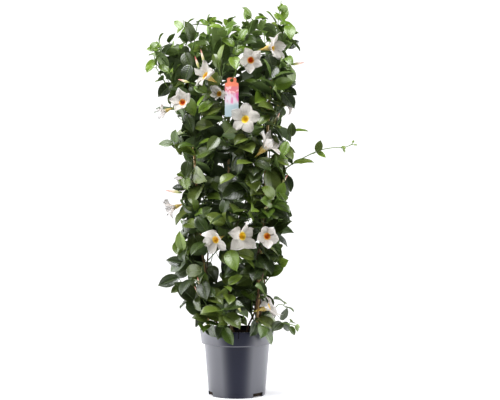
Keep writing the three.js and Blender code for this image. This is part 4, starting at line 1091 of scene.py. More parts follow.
def turn_loose(leaf, seed):
    """Turns a leaf about its stalk end at random, as leaves deep in a bush lie."""
    about = Vector([draw(seed, purpose) - 0.5 for purpose in (61, 62, 63)]).normalized()
    for direction in (leaf.axis, leaf.face, leaf.side):
        direction.rotate(Quaternion(about, math.radians(LOOSE_TURN * draw(seed, 64) * (1 - leaf.youth))))


def grow_extra_pair(plant, path, distance, seed, k, size, youth):
    """A pair of leaves wherever there is room for them."""
    for leaf_seed, turn in pair_seeds(seed, k):
        for turned_by in TURNS:
            leaf = pose_leaf(leaf_seed, place_on(path, distance), turn, size, youth, turned_by)
            turn_loose(leaf, leaf_seed)
            if not (in_see_through(leaf) or reaches_out(leaf) or hides_flower(leaf) or crosses_leaf(leaf)):
                leaf.joint = eased_on(path, distance)
                # Shade deep inside the plant is painted on as a darker tone.
                paint_shade_inside(leaf)
                keep_leaf(plant, leaf)
                break


def grow_twig(plant, k, pair, half):
    """A short side twig from a joint of a main stem, which turns up and out to the light."""
    distance, size, youth = pair
    seed = plant.seed * 40 + 2 * k + half
    at, heading = place_on(plant.path, distance)
    turn = pair_seeds(plant.seed, k)[half][1] + 0.5 * (draw(seed, 1) - 0.5)
    level, other = square_to(heading)
    around = level * math.cos(turn) + other * math.sin(turn)
    outward = Vector((at.x, at.y, 0)).normalized()
    reach = (58 + 50 * draw(seed, 2)) * (1 - 0.5 * youth)
    first = (heading * (0.5 + 0.5 * youth) + around * (0.8 - 0.35 * youth) + outward * 0.35).normalized()
    second = (first + UP * (0.5 + 0.5 * draw(seed, 3) + youth) + outward * 0.3).normalized()
    joint = eased_on(plant.path, distance)
    path = [joint, joint + first * reach * 0.45, joint + first * reach * 0.45 + second * reach * 0.55]
    last = 0
    for row, share in enumerate([0.5, 0.97] if reach < LONG_TWIG else [0.38, 0.7, 0.98]):
        before = len(plant.leaves)
        young = min(1, max(youth, (0.1 if draw(seed, 5) < 0.7 else 0.45) + 0.5 * draw(seed, 4) * share))
        grown = max(size, TOP_LEAF) * (1.06 - 0.34 * share)
        grow_extra_pair(plant, path, share * length_of(path), seed + 300, row, grown, young)
        if len(plant.leaves) > before:
            last = share
    if last:
        grown_to = place_on(path, last * length_of(path))[0]
        way = [point for point in path[:-1] if (point - joint).length < (grown_to - joint).length - 2] + [grown_to]
        add_stem(plant, way, SHOOT_RADIUS * 0.8, 0.8, (0.66, 0.95), [length_of(way)])


def grow_shown_leaf(seed, name, start, end, tone, youth):
    """A leaf of its own on a thin twig from the nearest place on a vine. It steps back or forth to cross nothing."""
    plant = plants[name]
    whole = length_of(plant.path)
    places = [eased_on(plant.path, whole * k / 80) for k in range(81)]
    for step in STEPS_ASIDE:
        base, tip = Vector(start) + Vector((0, step, 0)), Vector(end) + Vector((0, step, 0))
        joint = min(places, key=lambda place: (place - base).length + max(0, place.z - base.z))
        stalk = (base - joint).normalized()
        leaf = pose_leaf(seed, (base - stalk * LEAF_STALK, stalk), 0, (tip - base).length, youth, (0, 0, 1))
        face = (0.3 - 0.6 * draw(seed, 2), -1, 0.35)
        pose_by_hand(leaf, base - leaf.base, tip - base, face, leaf.length, tone, youth)
        if not crosses_leaf(leaf):
            break
    foot = leaf.joint = base - leaf.axis * 4 - stalk * 3
    if (foot - joint).length > 4:
        bowed = (joint + foot) / 2 + UP * (foot - joint).length * 0.12
        add_stem(plant, [joint, bowed, foot], SHOOT_RADIUS * 0.75, 0.8, (0.5, 0.95))
    keep_leaf(plant, leaf)


for k, row in enumerate(SHOWN_LEAVES):
    grow_shown_leaf(SHOWN_LEAF_SEED + k, *row)
for plant in plants.values():
    pairs = plant.pairs
    for k, pair in enumerate(pairs):
        for half in (0, 1):
            if draw(plant.seed * 7 + k, 50 + half) < 0.85 - 0.35 * pair[2]:
                grow_twig(plant, k, pair, half)
    for k, (before, after) in enumerate(zip(pairs, pairs[1:])):
        distance, size, youth = ((a + b) / 2 for a, b in zip(before, after))
        grow_extra_pair(plant, plant.path, distance, plant.seed + 60, k, size * 0.92, youth)


# Half a blade's outline from its stalk to its drawn-out tip: share of the length, and of half the width.
BLADE = [(0, 0), (0.04, 0.36), (0.12, 0.66), (0.24, 0.89), (0.38, 1), (0.52, 0.98), (0.66, 0.85), (0.78, 0.62),
         (0.88, 0.33), (0.945, 0.12), (1, 0)]
BLADE_LIFTS = {-1: 0, -0.5: 1, 0: 0.35, 0.5: 1, 1: 0}
BLADE_RIB_DROP = -1.1
BLADE_THICKNESS = 0.45


def blade_template():
    """One blade of length 1 and half width 1: five rows of points above and one rib below, closed at its rim."""
    corners, above, below = [(0, 0, 0)], [], []
    for share, wide in BLADE[1:-1]:
        above.append([len(corners) + k for k in range(5)])
        corners += [(share, across * wide, lift) for across, lift in BLADE_LIFTS.items()]
        below.append(len(corners))
        corners.append((share, 0, BLADE_RIB_DROP))
    tip = len(corners)
    corners.append((1, 0, 0))
    faces = [(0, above[0][k + 1], above[0][k]) for k in range(4)]
    faces += [(tip, above[-1][k], above[-1][k + 1]) for k in range(4)]
    for before, after in zip(above, above[1:]):
        faces += [(before[k], before[k + 1], after[k + 1], after[k]) for k in range(4)]
    upper = len(faces)
    for ends, rib, row in ((0, below[0], above[0]), (tip, below[-1], above[-1])):
        pair = [(ends, row[0], rib), (ends, rib, row[4])]
        faces += pair if ends == 0 else [face[::-1] for face in pair]
    for (low, rib), (high, next_rib) in zip(zip(above, below), zip(above[1:], below[1:])):
        faces += [(low[0], high[0], next_rib, rib), (low[4], rib, next_rib, high[4])]
    mesh = new_mesh("leaf blade", corners, faces, unit=1)
    rim = {frozenset(pair) for low, high in zip(above, above[1:]) for pair in ((low[0], high[0]), (low[4], high[4]))}
    rim |= {frozenset((end, row[k])) for end, row in ((0, above[0]), (tip, above[-1])) for k in (0, 4)}
    for edge in mesh.edges:
        edge.use_edge_sharp = frozenset(edge.vertices) in rim
    point_values(mesh, blade=[Vector(corner) for corner in corners])
    back = mesh.attributes.new("leaf_back", "FLOAT", "FACE")
    back.data.foreach_set("value", [float(i >= upper) for i in range(len(faces))])
    return mesh


def number(tree, name):
    """A named number read in a Geometry Nodes tree."""
    return output(tree, "GeometryNodeInputNamedAttribute", {"Name": name}, data_type="FLOAT")


def arrow(tree, name):
    """A named direction, place or set of three numbers read in a Geometry Nodes tree."""
    return output(tree, "GeometryNodeInputNamedAttribute", {"Name": name}, data_type="FLOAT_VECTOR")


def templates_on(given, **feeds):
    """The template that a tree is given, put on each of the places that it is given."""
    places, template = (output(thing.tree, "GeometryNodeObjectInfo", {"Object": thing}, "Geometry")
                        for thing in (given.places, given.template))
    return copies(places, template, **feeds)


leafy, given, result = node_tree(
    "leafy stems", places="Object", template="Object", blade_thickness="Float", blade_crown="Float",
    edge_wave="Float", stem_sides="Int", stalk_sides="Int", leaf="Material", stem="Material")

# Blades: each is a template bent along its own rib, folded up at its edges and a little waved.
blades = templates_on(given)
share, across, lift = parts(arrow(leafy, "blade"))
bend, level, rise = parts(arrow(leafy, "curl"))
long, half, phase = parts(arrow(leafy, "size"))
axis, face, side = (arrow(leafy, name) for name in ("axis", "face", "side"))
sine, cosine = sums("SINE", bend * share), sums("COSINE", bend * share)
away = abs(across)
crown = away * (1.0 - away) * given.blade_crown
ripple = sums("SINE", share * 11.0 + phase + across * 2.0) * given.edge_wave * away ** 2.0
raised = half * (away * rise + crown + ripple) + lift * given.blade_thickness
moved = arrow(leafy, "base") + axis * (long * sine) + face * (long * (cosine - 1.0)) + side * (half * level * across)
moved = moved + (face * cosine + axis * sine) * raised
blades = output(leafy, "GeometryNodeSetPosition", {"Geometry": blades, "Position": moved})

# Stems and stalks: rods swept along their lines, thick stems with more sides than thin stalks.
slender = output(leafy, "FunctionNodeCompare", {0: number(leafy, "slender"), 1: 0.5}, operation="GREATER_THAN")
sorted_lines = output(leafy, "GeometryNodeSeparateGeometry", {"Geometry": given.geometry, "Selection": slender})
rods = []
for lines, sides in zip(outputs(sorted_lines), (given.stalk_sides, given.stem_sides)):
    section = output(leafy, "GeometryNodeCurvePrimitiveCircle", {"Resolution": sides, "Radius": 1.0}, mode="RADIUS")
    feeds = {"Curve": output(leafy, "GeometryNodeMeshToCurve", {"Mesh": lines}), "Profile Curve": section,
             "Scale": number(leafy, "thick"), "Fill Caps": True}
    rod = output(leafy, "GeometryNodeSetShadeSmooth", {"Geometry": output(leafy, "GeometryNodeCurveToMesh", feeds)})
    rods.append(made_of(rod, given.stem))
plug(joined(*rods, made_of(blades, given.leaf)), result)

# The leaf's finish: leaf green that runs from fresh to dark with age and with the painted shade that its tone carries
# deep inside the plant, paler veins and back, and a waxy gloss.
leaf_green, tree = new_finish("mandevilla leaf")
along, sideways, _ = parts(painted(tree, "blade", "Vector"))
tone, youth, back = (painted(tree, name) for name in ("tone", "youth", "leaf_back"))
out = abs(sideways)
nearness = abs(sums("FRACT", along * 8.0 + 3.0 - out ** 1.25 * 2.0) - 0.5) * 2.0
midrib = 1.0 - between(out / (along * -0.035 + 0.065), 0.4, 1.2)
vein = sums("MAXIMUM", midrib, between(nearness, 0.80, 1.0) * 0.45)
slow, fine = drift(tree, 55.0, 1.5)
# The tone is the leaf's own random tone, darkened by painted shade for leaves deep inside the plant.
dark = blend(between(tone, 0.1, 1.0), (0.014, 0.024, 0.007), (0.150, 0.195, 0.036))
dark = blend(between(slow, 0.2, 0.9, 0.0, 0.5), dark, (0.045, 0.066, 0.014))
fresh = blend(tone, (0.082, 0.148, 0.012), (0.172, 0.266, 0.026))
green = blend(between(youth, 0.08, 0.66), dark, fresh)
green = blend(vein * 0.35, green, (0.20, 0.29, 0.085))
pale = blend(between(youth, 0.1, 0.9), (0.075, 0.115, 0.034), (0.18, 0.27, 0.055))
pale = blend(vein * 0.4, pale, (0.20, 0.28, 0.12))
quilt = fine * 0.05 + (1.0 - nearness * nearness) * 0.32 - midrib
dress(tree, Base_Color=blend(back, green, pale), Roughness=back * 0.25 + between(fine, 0.3, 0.7, 0.26, 0.40),
      Specular_IOR_Level=0.75, Normal=bump(quilt, 0.0007, 0.8))

# The stem's finish: corky brown at the foot, then olive, then fresh green, with fine cracks along the old wood.
stem_bark, tree = new_finish("mandevilla stem")
slow, _ = drift(tree, 70.0, 1.6)
cracks = streaks(tree, (700, 700, 60))
wood = blend(cracks, (0.045, 0.026, 0.015), (0.22, 0.14, 0.085))
worn = painted(tree, "age") + (slow * 0.3 - 0.15)
green = blend(between(worn, 0.55, 0.95), (0.055, 0.075, 0.022), (0.13, 0.21, 0.045))
dress(tree, Base_Color=blend(between(worn, 0.22, 0.48), wood, green), Specular_IOR_Level=0.4,
      Roughness=between(worn, 0.2, 0.7, 0.85, 0.42),
      Normal=bump(cracks * between(worn, 0.2, 0.6, 1.0, 0.12), 0.0008, 0.8))


def lines_mesh(name, rows):
    """The lines that stems are swept along, with their thickness and age."""
    corners, edges = [], []
    for slender, row in rows:
        edges += [(len(corners) + k, len(corners) + k + 1) for k in range(len(row) - 1)]
        corners += [(point, radius * MM, age, slender) for point, radius, age in row]
    points, radii, ages, slender = zip(*corners)
    mesh = new_mesh(name, points, edges=edges)
    point_values(mesh, thick=radii, age=ages, slender=slender)
    return mesh


def leaf_stalk_row(leaf):
    """A leaf's stalk from its joint into the blade, where it runs out along the rib's underside."""
    size = 0.55 + 0.45 * leaf.length / LEAF_LENGTH
    row = [(leaf.joint, 1.5 * size), (leaf.joint.lerp(leaf.base, 0.5) - UP * 0.4, 1.15 * size)]
    for share, radius in ((0.02, 1.05), (0.14, 0.75), (0.38, 0.4)):
        at, facing = on_rib(leaf, share)
        row.append((at - facing * 0.45 * size, radius * size))
    return [(point, radius, 0.72 + 0.25 * leaf.youth) for point, radius in row]


def fresh_share(leaf):
    """How fresh a leaf's green is: its youth, scaled down low on the plant, so that leaves are darker towards the
    bottom.
    """
    return leaf.youth * min(1, max(0.65, (leaf.base.z - 350) / 500))


def grow_on(piece, tree, template, places, used_up, **values):
    """Runs a tree that puts a template on places. The named values that were only used up in it then go."""
    given = {name: bpy.data.objects.new(name, mesh) for name, mesh in (("template", template), ("places", places))}
    run_tree(piece, tree, **given, **values)
    for name in used_up.split():
        if name in piece.data.attributes:
            piece.data.attributes.remove(piece.data.attributes[name])
    for thing in given.values():
        bpy.data.objects.remove(thing)


for name, plant in plants.items():
    grown = plant.leaves
    rows = [(0.0, row) for row in plant.stems] + [(1.0, leaf_stalk_row(leaf)) for leaf in grown]
    piece = in_scene("climbing_" + name, lines_mesh(name, rows))
    spots = new_mesh("leaf places", [leaf.base for leaf in grown])
    arrows = {way: [getattr(leaf, way) for leaf in grown] for way in ("axis", "face", "side")}
    point_values(
        spots, base=[leaf.base * MM for leaf in grown], **arrows, tone=[leaf.tone for leaf in grown],
        size=[Vector((leaf.length / leaf.bend * MM, leaf.width / 2 * MM, 6.28 * leaf.tone))
              for leaf in grown],
        curl=[Vector((leaf.bend, math.cos(leaf.fold), math.sin(leaf.fold))) for leaf in grown],
        youth=[fresh_share(leaf) for leaf in grown])
    grow_on(piece, leafy, blade_template(), spots, "base axis face side size curl thick slender",
            blade_thickness=BLADE_THICKNESS * MM, blade_crown=0.32, edge_wave=0.055, stem_sides=9, stalk_sides=5,
            leaf=leaf_green, stem=stem_bark)
    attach(piece, "root")
    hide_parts(name)


# The flowers: a soft, thin trumpet with a ribbed yellow-green neck that widens to an open throat, and five broad
# white lobes that overlap like a pinwheel, each drawn out to a point at one side. They grow on stalks.

# The neck and bell from the outside up and back down inside the wall, by radius and height from the face.
TRUMPET = [(0, -51), (1.6, -50.5), (2.2, -46), (2.5, -38), (3.6, -31), (5.8, -25), (7.6, -18), (8.6, -10), (9.8, -5.6),
           (12.2, -2.8), (11.8, -2.5), (9.9, -4.8), (8.2, -9), (6.4, -18), (4.6, -25), (0, -27)]
# A lobe from the bottom of the throat to its tip: radius, height, the turns of its two edges from its middle where
# the lobe is pointed, and the same where it is blunt. Neighbours overlap out to two thirds of the way.
LOBE = [(0.5, -13.2, -41, 41, -41, 41), (4.6, -11, -41, 41, -41, 41), (7, -7.6, -41, 41, -41, 41),
        (9.2, -3.8, -41, 41, -41, 41), (12.6, -1.4, -41, 41, -41, 41), (19, -0.2, -42, 41, -41, 41),
        (24.5, 0.2, -41, 40, -40, 40), (28.5, 0.3, -36, 37, -39, 39), (32.5, 0.3, -22, 27, -36, 36),
        (36.5, 0.2, -7.5, 17.5, -31, 30), (40, 0.1, 2, 12, -22, 21), (43, 0, 8, 8, -9, -8)]
LOBE_SHARES = (-1, -0.8, -0.54, -0.27, 0, 0.27, 0.54, 0.8, 1)
THROAT_RIM = 12
LOBE_THICKNESS = 0.5
LOBE_TWIST = 1.2
NECK_SIDES = 20
OUTSIDE = 9
RUFFLE = 3.0
UNLIKE = 0.7
# How each flower's lobes open: how far they lean forward and roll back, how blunt they are, how red its throat is,
# how much fuller it has opened than its solid, and how much painted shade greys its white.
OPENINGS = [
    (0.5, -0.3, 0.5, 0.4, 1.05, 0), (0.6, -0.5, 0.1, 1, 1.06, 0), (0.6, -0.8, 0.1, 0.5, 1.14, 0),
    (0.43, -0.4, 0.1, 1, 1, 0), (0.85, -0.6, 0.9, 0.3, 1.2, 0.5), (0.75, 0.1, 0.3, 0.5, 1.15, 0),
    (0.55, -0.4, 0.5, 0.0, 1.02, 0), (0.8, -0.4, 0.3, 0.4, 1.2, 0.1), (0.9, -0.3, 0.9, 0.5, 1.18, 0.6),
    (0.35, -0.1, 0.9, 0.3, 1, 0), (0.45, -0.3, 0, 0.1, 1.06, 0), (0.42, -0.4, 0, 0.8, 1, 0),
    (0.5, -0.5, 0.4, 0.3, 1.12, 0.3), (0.3, -0.6, 0.5, 0.6, 1, 0), (0.35, -0.3, 0.1, 0.2, 1, 0),
    (0.35, -0.5, 0.7, 0.5, 1, 0.3), (0.4, -0.8, 0.2, 0.4, 1, 0.2),
]


def halved(rows):
    """Rows of numbers with one more between each two, on a smooth curve."""
    made = [rows[0]]
    for k in range(1, len(rows)):
        four = rows[max(k - 2, 0)], rows[k - 1], rows[k], rows[min(k + 1, len(rows) - 1)]
        made += [tuple((9 * (b + c) - a - d) / 16 for a, b, c, d in zip(*four)), rows[k]]
    return made


LOBE = halved(LOBE)


def lobe_corners(lobe):
    """The corners of one lobe, first those above and then those below, row by row, and its tip last. Each comes as a
    pointed and a blunt lobe have it, with its place on the lobe."""
    made = []
    for face in (1, -1):
        for k, (radius, height, *edges) in enumerate(LOBE[:-1]):
            before, after = LOBE[max(k - 1, 0)], LOBE[k + 1]
            slope = Vector((after[0] - before[0], after[1] - before[1])).normalized()
            lift = face * LOBE_THICKNESS / 2
            out = radius - slope.y * lift
            reach = (radius - THROAT_RIM) / (LOBE[-1][0] - THROAT_RIM) if radius > THROAT_RIM else height / 30
            for across in LOBE_SHARES:
                up = height + slope.x * (lift + LOBE_TWIST * across * min(1, radius / 20) ** 2)
                turns = [(left + right) / 2 + (right - left) / 2 * across for left, right in (edges[:2], edges[2:])]
                made.append((out, up, turns, (reach, across, lobe)))
    radius, height, pointed, _, blunt, _ = LOBE[-1]
    made.append((radius, height, [pointed, blunt], (1, 0, lobe)))
    return made


def lobe_faces():
    """The faces of one lobe: above, below, and its rim all round."""
    wide, rows = len(LOBE_SHARES), len(LOBE) - 1
    under, tip, faces = wide * rows, 2 * wide * rows, []
    for k in range(rows - 1):
        for j in range(wide - 1):
            here = k * wide + j
            faces.append((here, here + wide, here + wide + 1, here + 1))
            here += under
            faces.append((here, here + 1, here + wide + 1, here + wide))
    for j in range(wide - 1):
        last, low = (rows - 1) * wide + j, under + (rows - 1) * wide + j
        faces += [(last, tip, last + 1), (low, low + 1, tip), (j, j + 1, under + j + 1, under + j)]
    for k in range(rows - 1):
        for j, way in ((0, 1), (wide - 1, -1)):
            here = k * wide + j
            faces.append((here, under + here, under + here + wide, here + wide)[::way])
    for j, way in ((0, 1), (wide - 1, -1)):
        faces.append(((rows - 1) * wide + j, under + (rows - 1) * wide + j, tip)[::way])
    return faces


def flower_template():
    """One open flower that looks up: the trumpet, then five closed lobes, with the place of each point on it."""
    corners, faces = turned(TRUMPET, NECK_SIDES)
    places = [Vector((z / 50, 2 * math.atan2(y, x) / math.pi, OUTSIDE)) for x, y, z in corners]
    blunt = list(corners)
    for lobe in range(5):
        faces += [tuple(len(corners) + corner for corner in face) for face in lobe_faces()]
        for out, up, turns, place in lobe_corners(lobe):
            for shape, turn in zip((corners, blunt), turns):
                turn = math.radians(72 * lobe + 36 + turn)
                shape.append((out * math.cos(turn), out * math.sin(turn), up))
            places.append(Vector(place))
    mesh = new_mesh("open flower", corners, faces)
    point_values(mesh, petal=places, blunt=[Vector(corner) * MM for corner in blunt])
    return mesh


flowers, given, result = node_tree("flower heads", places="Object", template="Object", face_radius="Float",
                                   ruffle="Float", unlike="Float", petal="Material")
heads = templates_on(given)
reach, across, lobe = parts(arrow(flowers, "petal"))
lean, roll, own = parts(arrow(flowers, "opening"))
middle, size = arrow(flowers, "middle"), number(flowers, "bloom_size")
local = output(flowers, "GeometryNodeInputPosition") - middle
local = local + (arrow(flowers, "blunt") - local) * number(flowers, "bluntness")
x, y, z = parts(local)
# Three draws for each lobe of each flower, so that no two lean, roll and turn up alike.
unlike = output(flowers, "ShaderNodeCombineXYZ", {0: lobe, 1: own})
unlike = output(flowers, "ShaderNodeTexWhiteNoise", {"Vector": unlike}, "Color")
first, second, third = ((part - 0.5) * given.unlike for part in parts(unlike))
radius = sums("SQRT", x * x + y * y)
past = sums("MAXIMUM", reach, 0.0)
angle = ((roll + second) * 0.5 + first + first) * past + lean
span = past * given.face_radius
scale = (radius + span * (sums("COSINE", angle) - 1.0)) / sums("MAXIMUM", radius, 0.0001)
wave = sums("SINE", across * 5.0 + (own * 6.3 + lobe)) * given.ruffle * past ** 1.5
raised = z + (span * sums("SINE", angle) + (wave + across * span * (third + 0.10)))
moved = middle
for way, amount in (("level", x * scale), ("other", y * scale), ("look", raised)):
    moved = moved + arrow(flowers, way) * (amount * size)
heads = output(flowers, "GeometryNodeSetPosition", {"Geometry": heads, "Position": moved})
plug(made_of(heads, given.petal), result)

# The petal's finish: white with a breath of pink, greyed by painted shade on a few flowers, fine pleats, and a throat
# that runs from yellow to orange red.
petal_white, tree = new_finish("white petal")
reach, across, lobe = parts(painted(tree, "petal", "Vector"))
warmth, dull = painted(tree, "warmth"), painted(tree, "dull")
pleats = cloud(output(tree, "ShaderNodeCombineXYZ", {0: across * 9.0, 1: reach, 2: lobe}), 1.6)
slow, fine = drift(tree, 60.0, 1.2)
white = blend(between(pleats, 0.3, 0.75), (0.415, 0.385, 0.335), (0.51, 0.47, 0.415))
white = blend(between(slow, 0.4, 0.9, 0.0, 0.5), white, (0.45, 0.39, 0.355))
# Painted shade: the white is greyed on flowers that the side lights would leave too bright.
white = blend(dull, white, (0.205, 0.185, 0.185))
yellow = blend(warmth, (0.95, 0.70, 0.06), (0.95, 0.42, 0.06))
deep = blend(warmth, (0.92, 0.58, 0.03), (0.80, 0.12, 0.02))
throat = blend(between(reach, -0.30, -0.12), deep, yellow)
inner = blend(between(pleats * 0.16 + reach, -0.05, 0.08), throat, white)
neck = blend(between(reach, -0.95, -0.66), (0.20, 0.27, 0.05), (0.70, 0.50, 0.16))
neck = blend(between(pleats, 0.45, 0.7, 0.0, 0.45), neck, (0.42, 0.24, 0.05))
neck = blend(between(reach, -0.30, -0.06), neck, (0.74, 0.69, 0.60))
dress(tree, Base_Color=blend(sums("GREATER_THAN", lobe, OUTSIDE - 1.0), inner, neck), Roughness=0.6,
      Specular_IOR_Level=0.3, Subsurface_Weight=0.6, Subsurface_Radius=(1, 0.92, 0.88), Subsurface_Scale=0.006,
      Sheen_Weight=0.12, Sheen_Roughness=0.5, Normal=bump(pleats + fine * 0.2, 0.0007, 0.6))

spots = new_mesh("flower places", [bloom.face for bloom in BLOOMS])
ways = []
for bloom in BLOOMS:
    (level, other), spin = square_to(bloom.heading), math.radians(bloom.spin)
    ways.append((level * math.cos(spin) + other * math.sin(spin), other * math.cos(spin) - level * math.sin(spin)))
levels, others = zip(*ways)
# The last of each flower's openings is the painted shade that greys its white.
leans, rolls, bluntness, redness, fullness, petal_shades = zip(*OPENINGS)
point_values(
    spots, middle=[bloom.face * MM for bloom in BLOOMS], look=[bloom.heading for bloom in BLOOMS],
    level=levels, other=others, bloom_size=[bloom.size * fuller for bloom, fuller in zip(BLOOMS, fullness)],
    opening=[Vector((lean, roll, draw(i, 3))) for i, (lean, roll) in enumerate(zip(leans, rolls))],
    bluntness=bluntness, warmth=redness, dull=petal_shades)
piece = in_scene("open_flowers", bpy.data.meshes.new("open_flowers"))
grow_on(piece, flowers, flower_template(), spots, "middle look level other bloom_size opening blunt bluntness",
        face_radius=(LOBE[-1][0] - THROAT_RIM) * MM, ruffle=RUFFLE * MM, unlike=UNLIKE, petal=petal_white)
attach(piece, "root")
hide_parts(*["bloom_%02d" % (i + 1) for i in range(len(BLOOMS))])


# The buds: next week's flowers, each a petal roll furled into a pointed spindle with five spiral edges, green at
# its foot and flushed pink at its tip.

# The spindle's radius by share of its length.
SPINDLE = [(0, 0), (0, 1.3), (0.06, 1.9), (0.16, 2.9), (0.28, 3.8), (0.4, 4.1), (0.52, 3.7), (0.64, 3.0), (0.76, 2.2),
           (0.87, 1.4), (0.95, 0.75), (1, 0)]
FURL_SIDES = 20
FURL_TURN = 0.55
FURL_EDGE = 0.16
FULL_BUD = 42


def bud_template():
    """One furled bud of length 1 that points up, with the place of each point on it."""
    corners, faces = turned([(radius, share) for share, radius in SPINDLE], FURL_SIDES)
    places = []
    for k, (x, y, share) in enumerate(corners):
        turn = math.atan2(y, x) / (2 * math.pi) % 1
        ridge = (5 * turn + 1e-6) % 1
        radius = math.hypot(x, y) * (1 - FURL_EDGE / 2 + FURL_EDGE * ridge)
        turn = 2 * math.pi * (turn + FURL_TURN * share)
        corners[k] = (radius * math.cos(turn) * MM, radius * math.sin(turn) * MM, share)
        places.append(Vector((share, ridge, 0)))
    mesh = new_mesh("furled bud", corners, faces, unit=1)
    point_values(mesh, furl=places)
    return mesh


furled, given, result = node_tree("furled buds", places="Object", template="Object", petal_roll="Material")
feeds = {"Primary Axis": arrow(furled, "look"), "Secondary Axis": arrow(furled, "level")}
turn = output(furled, "FunctionNodeAxesToRotation", feeds, primary_axis="Z", secondary_axis="X")
width = number(furled, "bud_width")
size = output(furled, "ShaderNodeCombineXYZ", {0: width, 1: width, 2: number(furled, "bud_length")})
plug(made_of(templates_on(given, Rotation=turn, Scale=size), given.petal_roll), result)

petal_roll, tree = new_finish("furled petals")
share, ridge, _ = parts(painted(tree, "furl", "Vector"))
_, fine = drift(tree, 160.0, 1.4)
place = fine * 0.12 + share
roll = blend(between(place, 0.08, 0.42), (0.17, 0.25, 0.045), (0.62, 0.60, 0.28))
roll = blend(between(place, 0.40, 0.66), roll, (0.78, 0.66, 0.52))
stripe = between(ridge, 0.35, 0.95) * between(place, 0.34, 0.7)
red = sums("MAXIMUM", stripe, between(place, 0.62, 0.95)) * (painted(tree, "flush") * 0.45 + 0.5)
dress(tree, Base_Color=blend(red, roll, (0.62, 0.10, 0.10)), Roughness=0.5, Specular_IOR_Level=0.35,
      Normal=bump(ridge * 0.6 + fine, 0.0004, 0.5))

spots = new_mesh("bud places", [bud.seat for bud in BUDS])
lengths = [(bud.tip - bud.seat).length for bud in BUDS]
point_values(
    spots, look=[bud.heading for bud in BUDS], level=[square_to(bud.heading)[0] for bud in BUDS],
    bud_length=[length * MM for length in lengths], flush=[draw(i, 8) for i in range(len(BUDS))],
    bud_width=[0.62 + 0.38 * length / FULL_BUD for length in lengths])
piece = in_scene("flower_buds", bpy.data.meshes.new("flower_buds"))
grow_on(piece, furled, bud_template(), spots, "look level bud_length bud_width", petal_roll=petal_roll)
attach(piece, "root")
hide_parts(*["bud_%02d" % (i + 1) for i in range(len(BUDS))])


# The hang tag: a strip of thin printed plastic film with a narrower head and a punched hole, slid over a shoot.
# Its print is a soft wash with streaks from coral through pink to pale blue. It has picked up a little curl.

TAG = {"width": 39, "drop": 96, "neck": 27, "head": 15, "hole_up": 7, "hole": 5, "corner": 3, "curl": 2.2}
TAG_BANDS = 12
FILM_THICKNESS = 0.6
half, neck, corner, drop, head = TAG["width"] / 2, TAG["neck"] / 2, TAG["corner"], TAG["drop"], TAG["head"]
right_side = [(half - 1.5, -drop), (half, 1.5 - drop), (half, -corner), (half - corner * 0.3, -corner * 0.3),
              (half - corner, 0), (neck + 1, 0.6), (neck - 1.2, 2), (neck, 5), (neck, head - 5), (neck - 1.4, head - 2),
              (neck - 5, head)]
outline = right_side + [(-x, z) for x, z in reversed(right_side)]
count = len(outline)
corners = [(x, side * FILM_THICKNESS / 2, z) for side in (-1, 1) for x, z in outline]
faces = [tuple(range(count)), tuple(reversed(range(count, 2 * count)))]
faces += [(k, k + count, (k + 1) % count + count, (k + 1) % count) for k in range(count)]
tag = in_scene("hang_tag", new_mesh("hang_tag", corners, faces, smooth=False))
ring_corners, faces = turned([(0, -4), (TAG["hole"], -4), (TAG["hole"], 4), (0, 4)], 32)
carve(tag, "DIFFERENCE", [(x, -z, y + TAG["hole_up"]) for x, y, z in ring_corners], faces)
# The film is cut into bands and halves so that it can curl.
work = bmesh.new()
work.from_mesh(tag.data)
cuts = [((0, 0, (k * drop / TAG_BANDS - drop) * MM), (0, 0, 1)) for k in range(1, TAG_BANDS)] + [((0, 0, 0), (1, 0, 0))]
for place, way in cuts:
    bmesh.ops.bisect_plane(work, geom=work.verts[:] + work.edges[:] + work.faces[:], plane_co=place, plane_no=way)
shoot_x, shoot_y, shoot_z = TAG_SHOOT.way[1]
hole_z = shoot_z - (TAG["hole"] - 2.4 * SHOOT_RADIUS - 0.3)
for vertex in work.verts:
    x, y, z = vertex.co / MM
    below = max(0, -z) / drop
    bow = TAG["curl"] * (below ** 2 - 0.35 * (x / half) ** 2 * below)
    vertex.co = Vector((shoot_x + x, shoot_y + y + bow, hole_z - TAG["hole_up"] + z)) * MM
work.to_mesh(tag.data)
work.free()
tag.data.shade_smooth()
tag.data.set_sharp_from_angle(angle=math.radians(40))

printed, tree = new_finish("printed tag film")
place = surface_place(tree)
share = between(parts(place)[2], (hole_z - TAG["hole_up"] - drop) * MM, (hole_z + 8) * MM)
level = cloud(place, 55.0, 4.0) * 0.6 + (share - 0.3)
wash = blend(between(level, 0.10, 0.34), (0.42, 0.52, 0.54), (0.62, 0.58, 0.61))
streak = between(streaks(tree, (110, 110, 26), 2.0), 0.40, 0.64) * between(level, 0.22, 0.42)
wash = blend(streak, wash, (0.62, 0.16, 0.32))
wash = blend(between(level, 0.56, 0.72), wash, (0.62, 0.20, 0.22))
slow, fine = drift(tree, 75.0, 1.8)
blotch = between(slow, 0.50, 0.68, 0.0, 0.7) * between(share, 0.5, 0.7)
wash = blend(blotch, wash, (0.78, 0.60, 0.58))
wash = blend(between(share, 0.84, 0.90), wash, (0.76, 0.25, 0.15))
dress(tree, Base_Color=wash, Roughness=0.28, Specular_IOR_Level=0.5, Normal=bump(fine, 0.0001, 0.15))
tag.data.materials.append(printed)
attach(tag, "root")
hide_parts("tag")


# The studio: a plain pale floor, two tall soft walls of light at the plant's sides and one soft light above, a
# little in front. The camera stands at a little under half the plant's height.

CAMERA_AWAY = 2.7
CAMERA_HEIGHT = 0.46
PIXEL = 2.985 * MM
PHOTO_WIDTH = 500
FLOOR_RADIUS = 1.7
FLOOR_GLOW = 0.2
FLOOR_SIDES = 64
LIGHT_WHITE = (0.985, 0.99, 1.03)

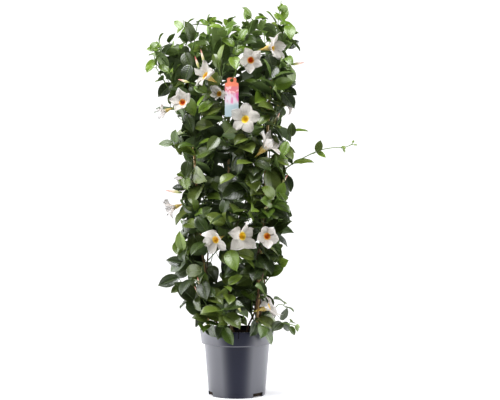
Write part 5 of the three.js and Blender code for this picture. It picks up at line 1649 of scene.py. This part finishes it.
turns = [k / FLOOR_SIDES * 2 * math.pi for k in range(FLOOR_SIDES)]
rim = [(FLOOR_RADIUS * math.cos(turn), FLOOR_RADIUS * math.sin(turn), 0) for turn in turns]
floor = in_scene("studio_floor", new_mesh("studio_floor", rim, [tuple(range(FLOOR_SIDES))], unit=1, smooth=False))
floor_white, tree = new_finish("white studio floor")
slow, _ = drift(tree, 3.0, 0.3)
dress(tree, Base_Color=blend(slow, (0.90, 0.90, 0.90), (0.93, 0.93, 0.93)), Roughness=0.9, Specular_IOR_Level=0.1,
      Emission_Color=(1, 1, 1), Emission_Strength=FLOOR_GLOW)
floor.data.materials.append(floor_white)


def soft_light(name, place, aim, wide, high, glow):
    """A flat soft light at a place, aimed at a point, with its sizes and how bright its face glows."""
    light = bpy.data.lights.new(name, "AREA")
    light.shape, light.size, light.size_y = "RECTANGLE", wide, high
    light.energy = glow * math.pi * wide * high
    light.color = LIGHT_WHITE
    lamp = in_scene(name, light)
    lamp.location = place
    lamp.rotation_mode = "QUATERNION"
    lamp.rotation_quaternion = (Vector(aim) - Vector(place)).to_track_quat("-Z", "Y")


soft_light("left_wall", (-2.2, 0.4, 1.0), (0, 0.4, 0.8), 4.2, 2.6, 3.1)
soft_light("right_wall", (2.2, 0.4, 1.0), (0, 0.4, 0.8), 4.2, 2.6, 2.9)
soft_light("top_light", (-0.3, -1.1, 2.9), (0, 0, 0.5), 2.0, 1.4, 10.5)

# The white backdrop shows white and lights the plant only faintly.
world = bpy.data.worlds.new("white studio")
bpy.context.scene.world = world
world.use_nodes = True
backdrop = world.node_tree.nodes["Background"].inputs
plug((1, 1, 1), backdrop["Color"])
seen = output(world.node_tree, "ShaderNodeLightPath", which="Is Camera Ray")
plug(between(seen, 0.0, 1.0, 0.05, 1.0), backdrop["Strength"])

lens = bpy.data.cameras.new("camera")
lens.sensor_width = 36
lens.lens = CAMERA_AWAY / (PIXEL * PHOTO_WIDTH) * lens.sensor_width
lens.shift_x, lens.shift_y = 13 / PHOTO_WIDTH, 40 / PHOTO_WIDTH
lens.clip_end = 50
camera = in_scene("camera", lens)
camera.location = (0, -CAMERA_AWAY, CAMERA_HEIGHT)
camera.rotation_euler = (math.pi / 2, 0, 0)
bpy.context.scene.camera = camera
bpy.context.scene.view_settings.view_transform = "Standard"
bpy.context.scene.view_settings.look = "Medium High Contrast"
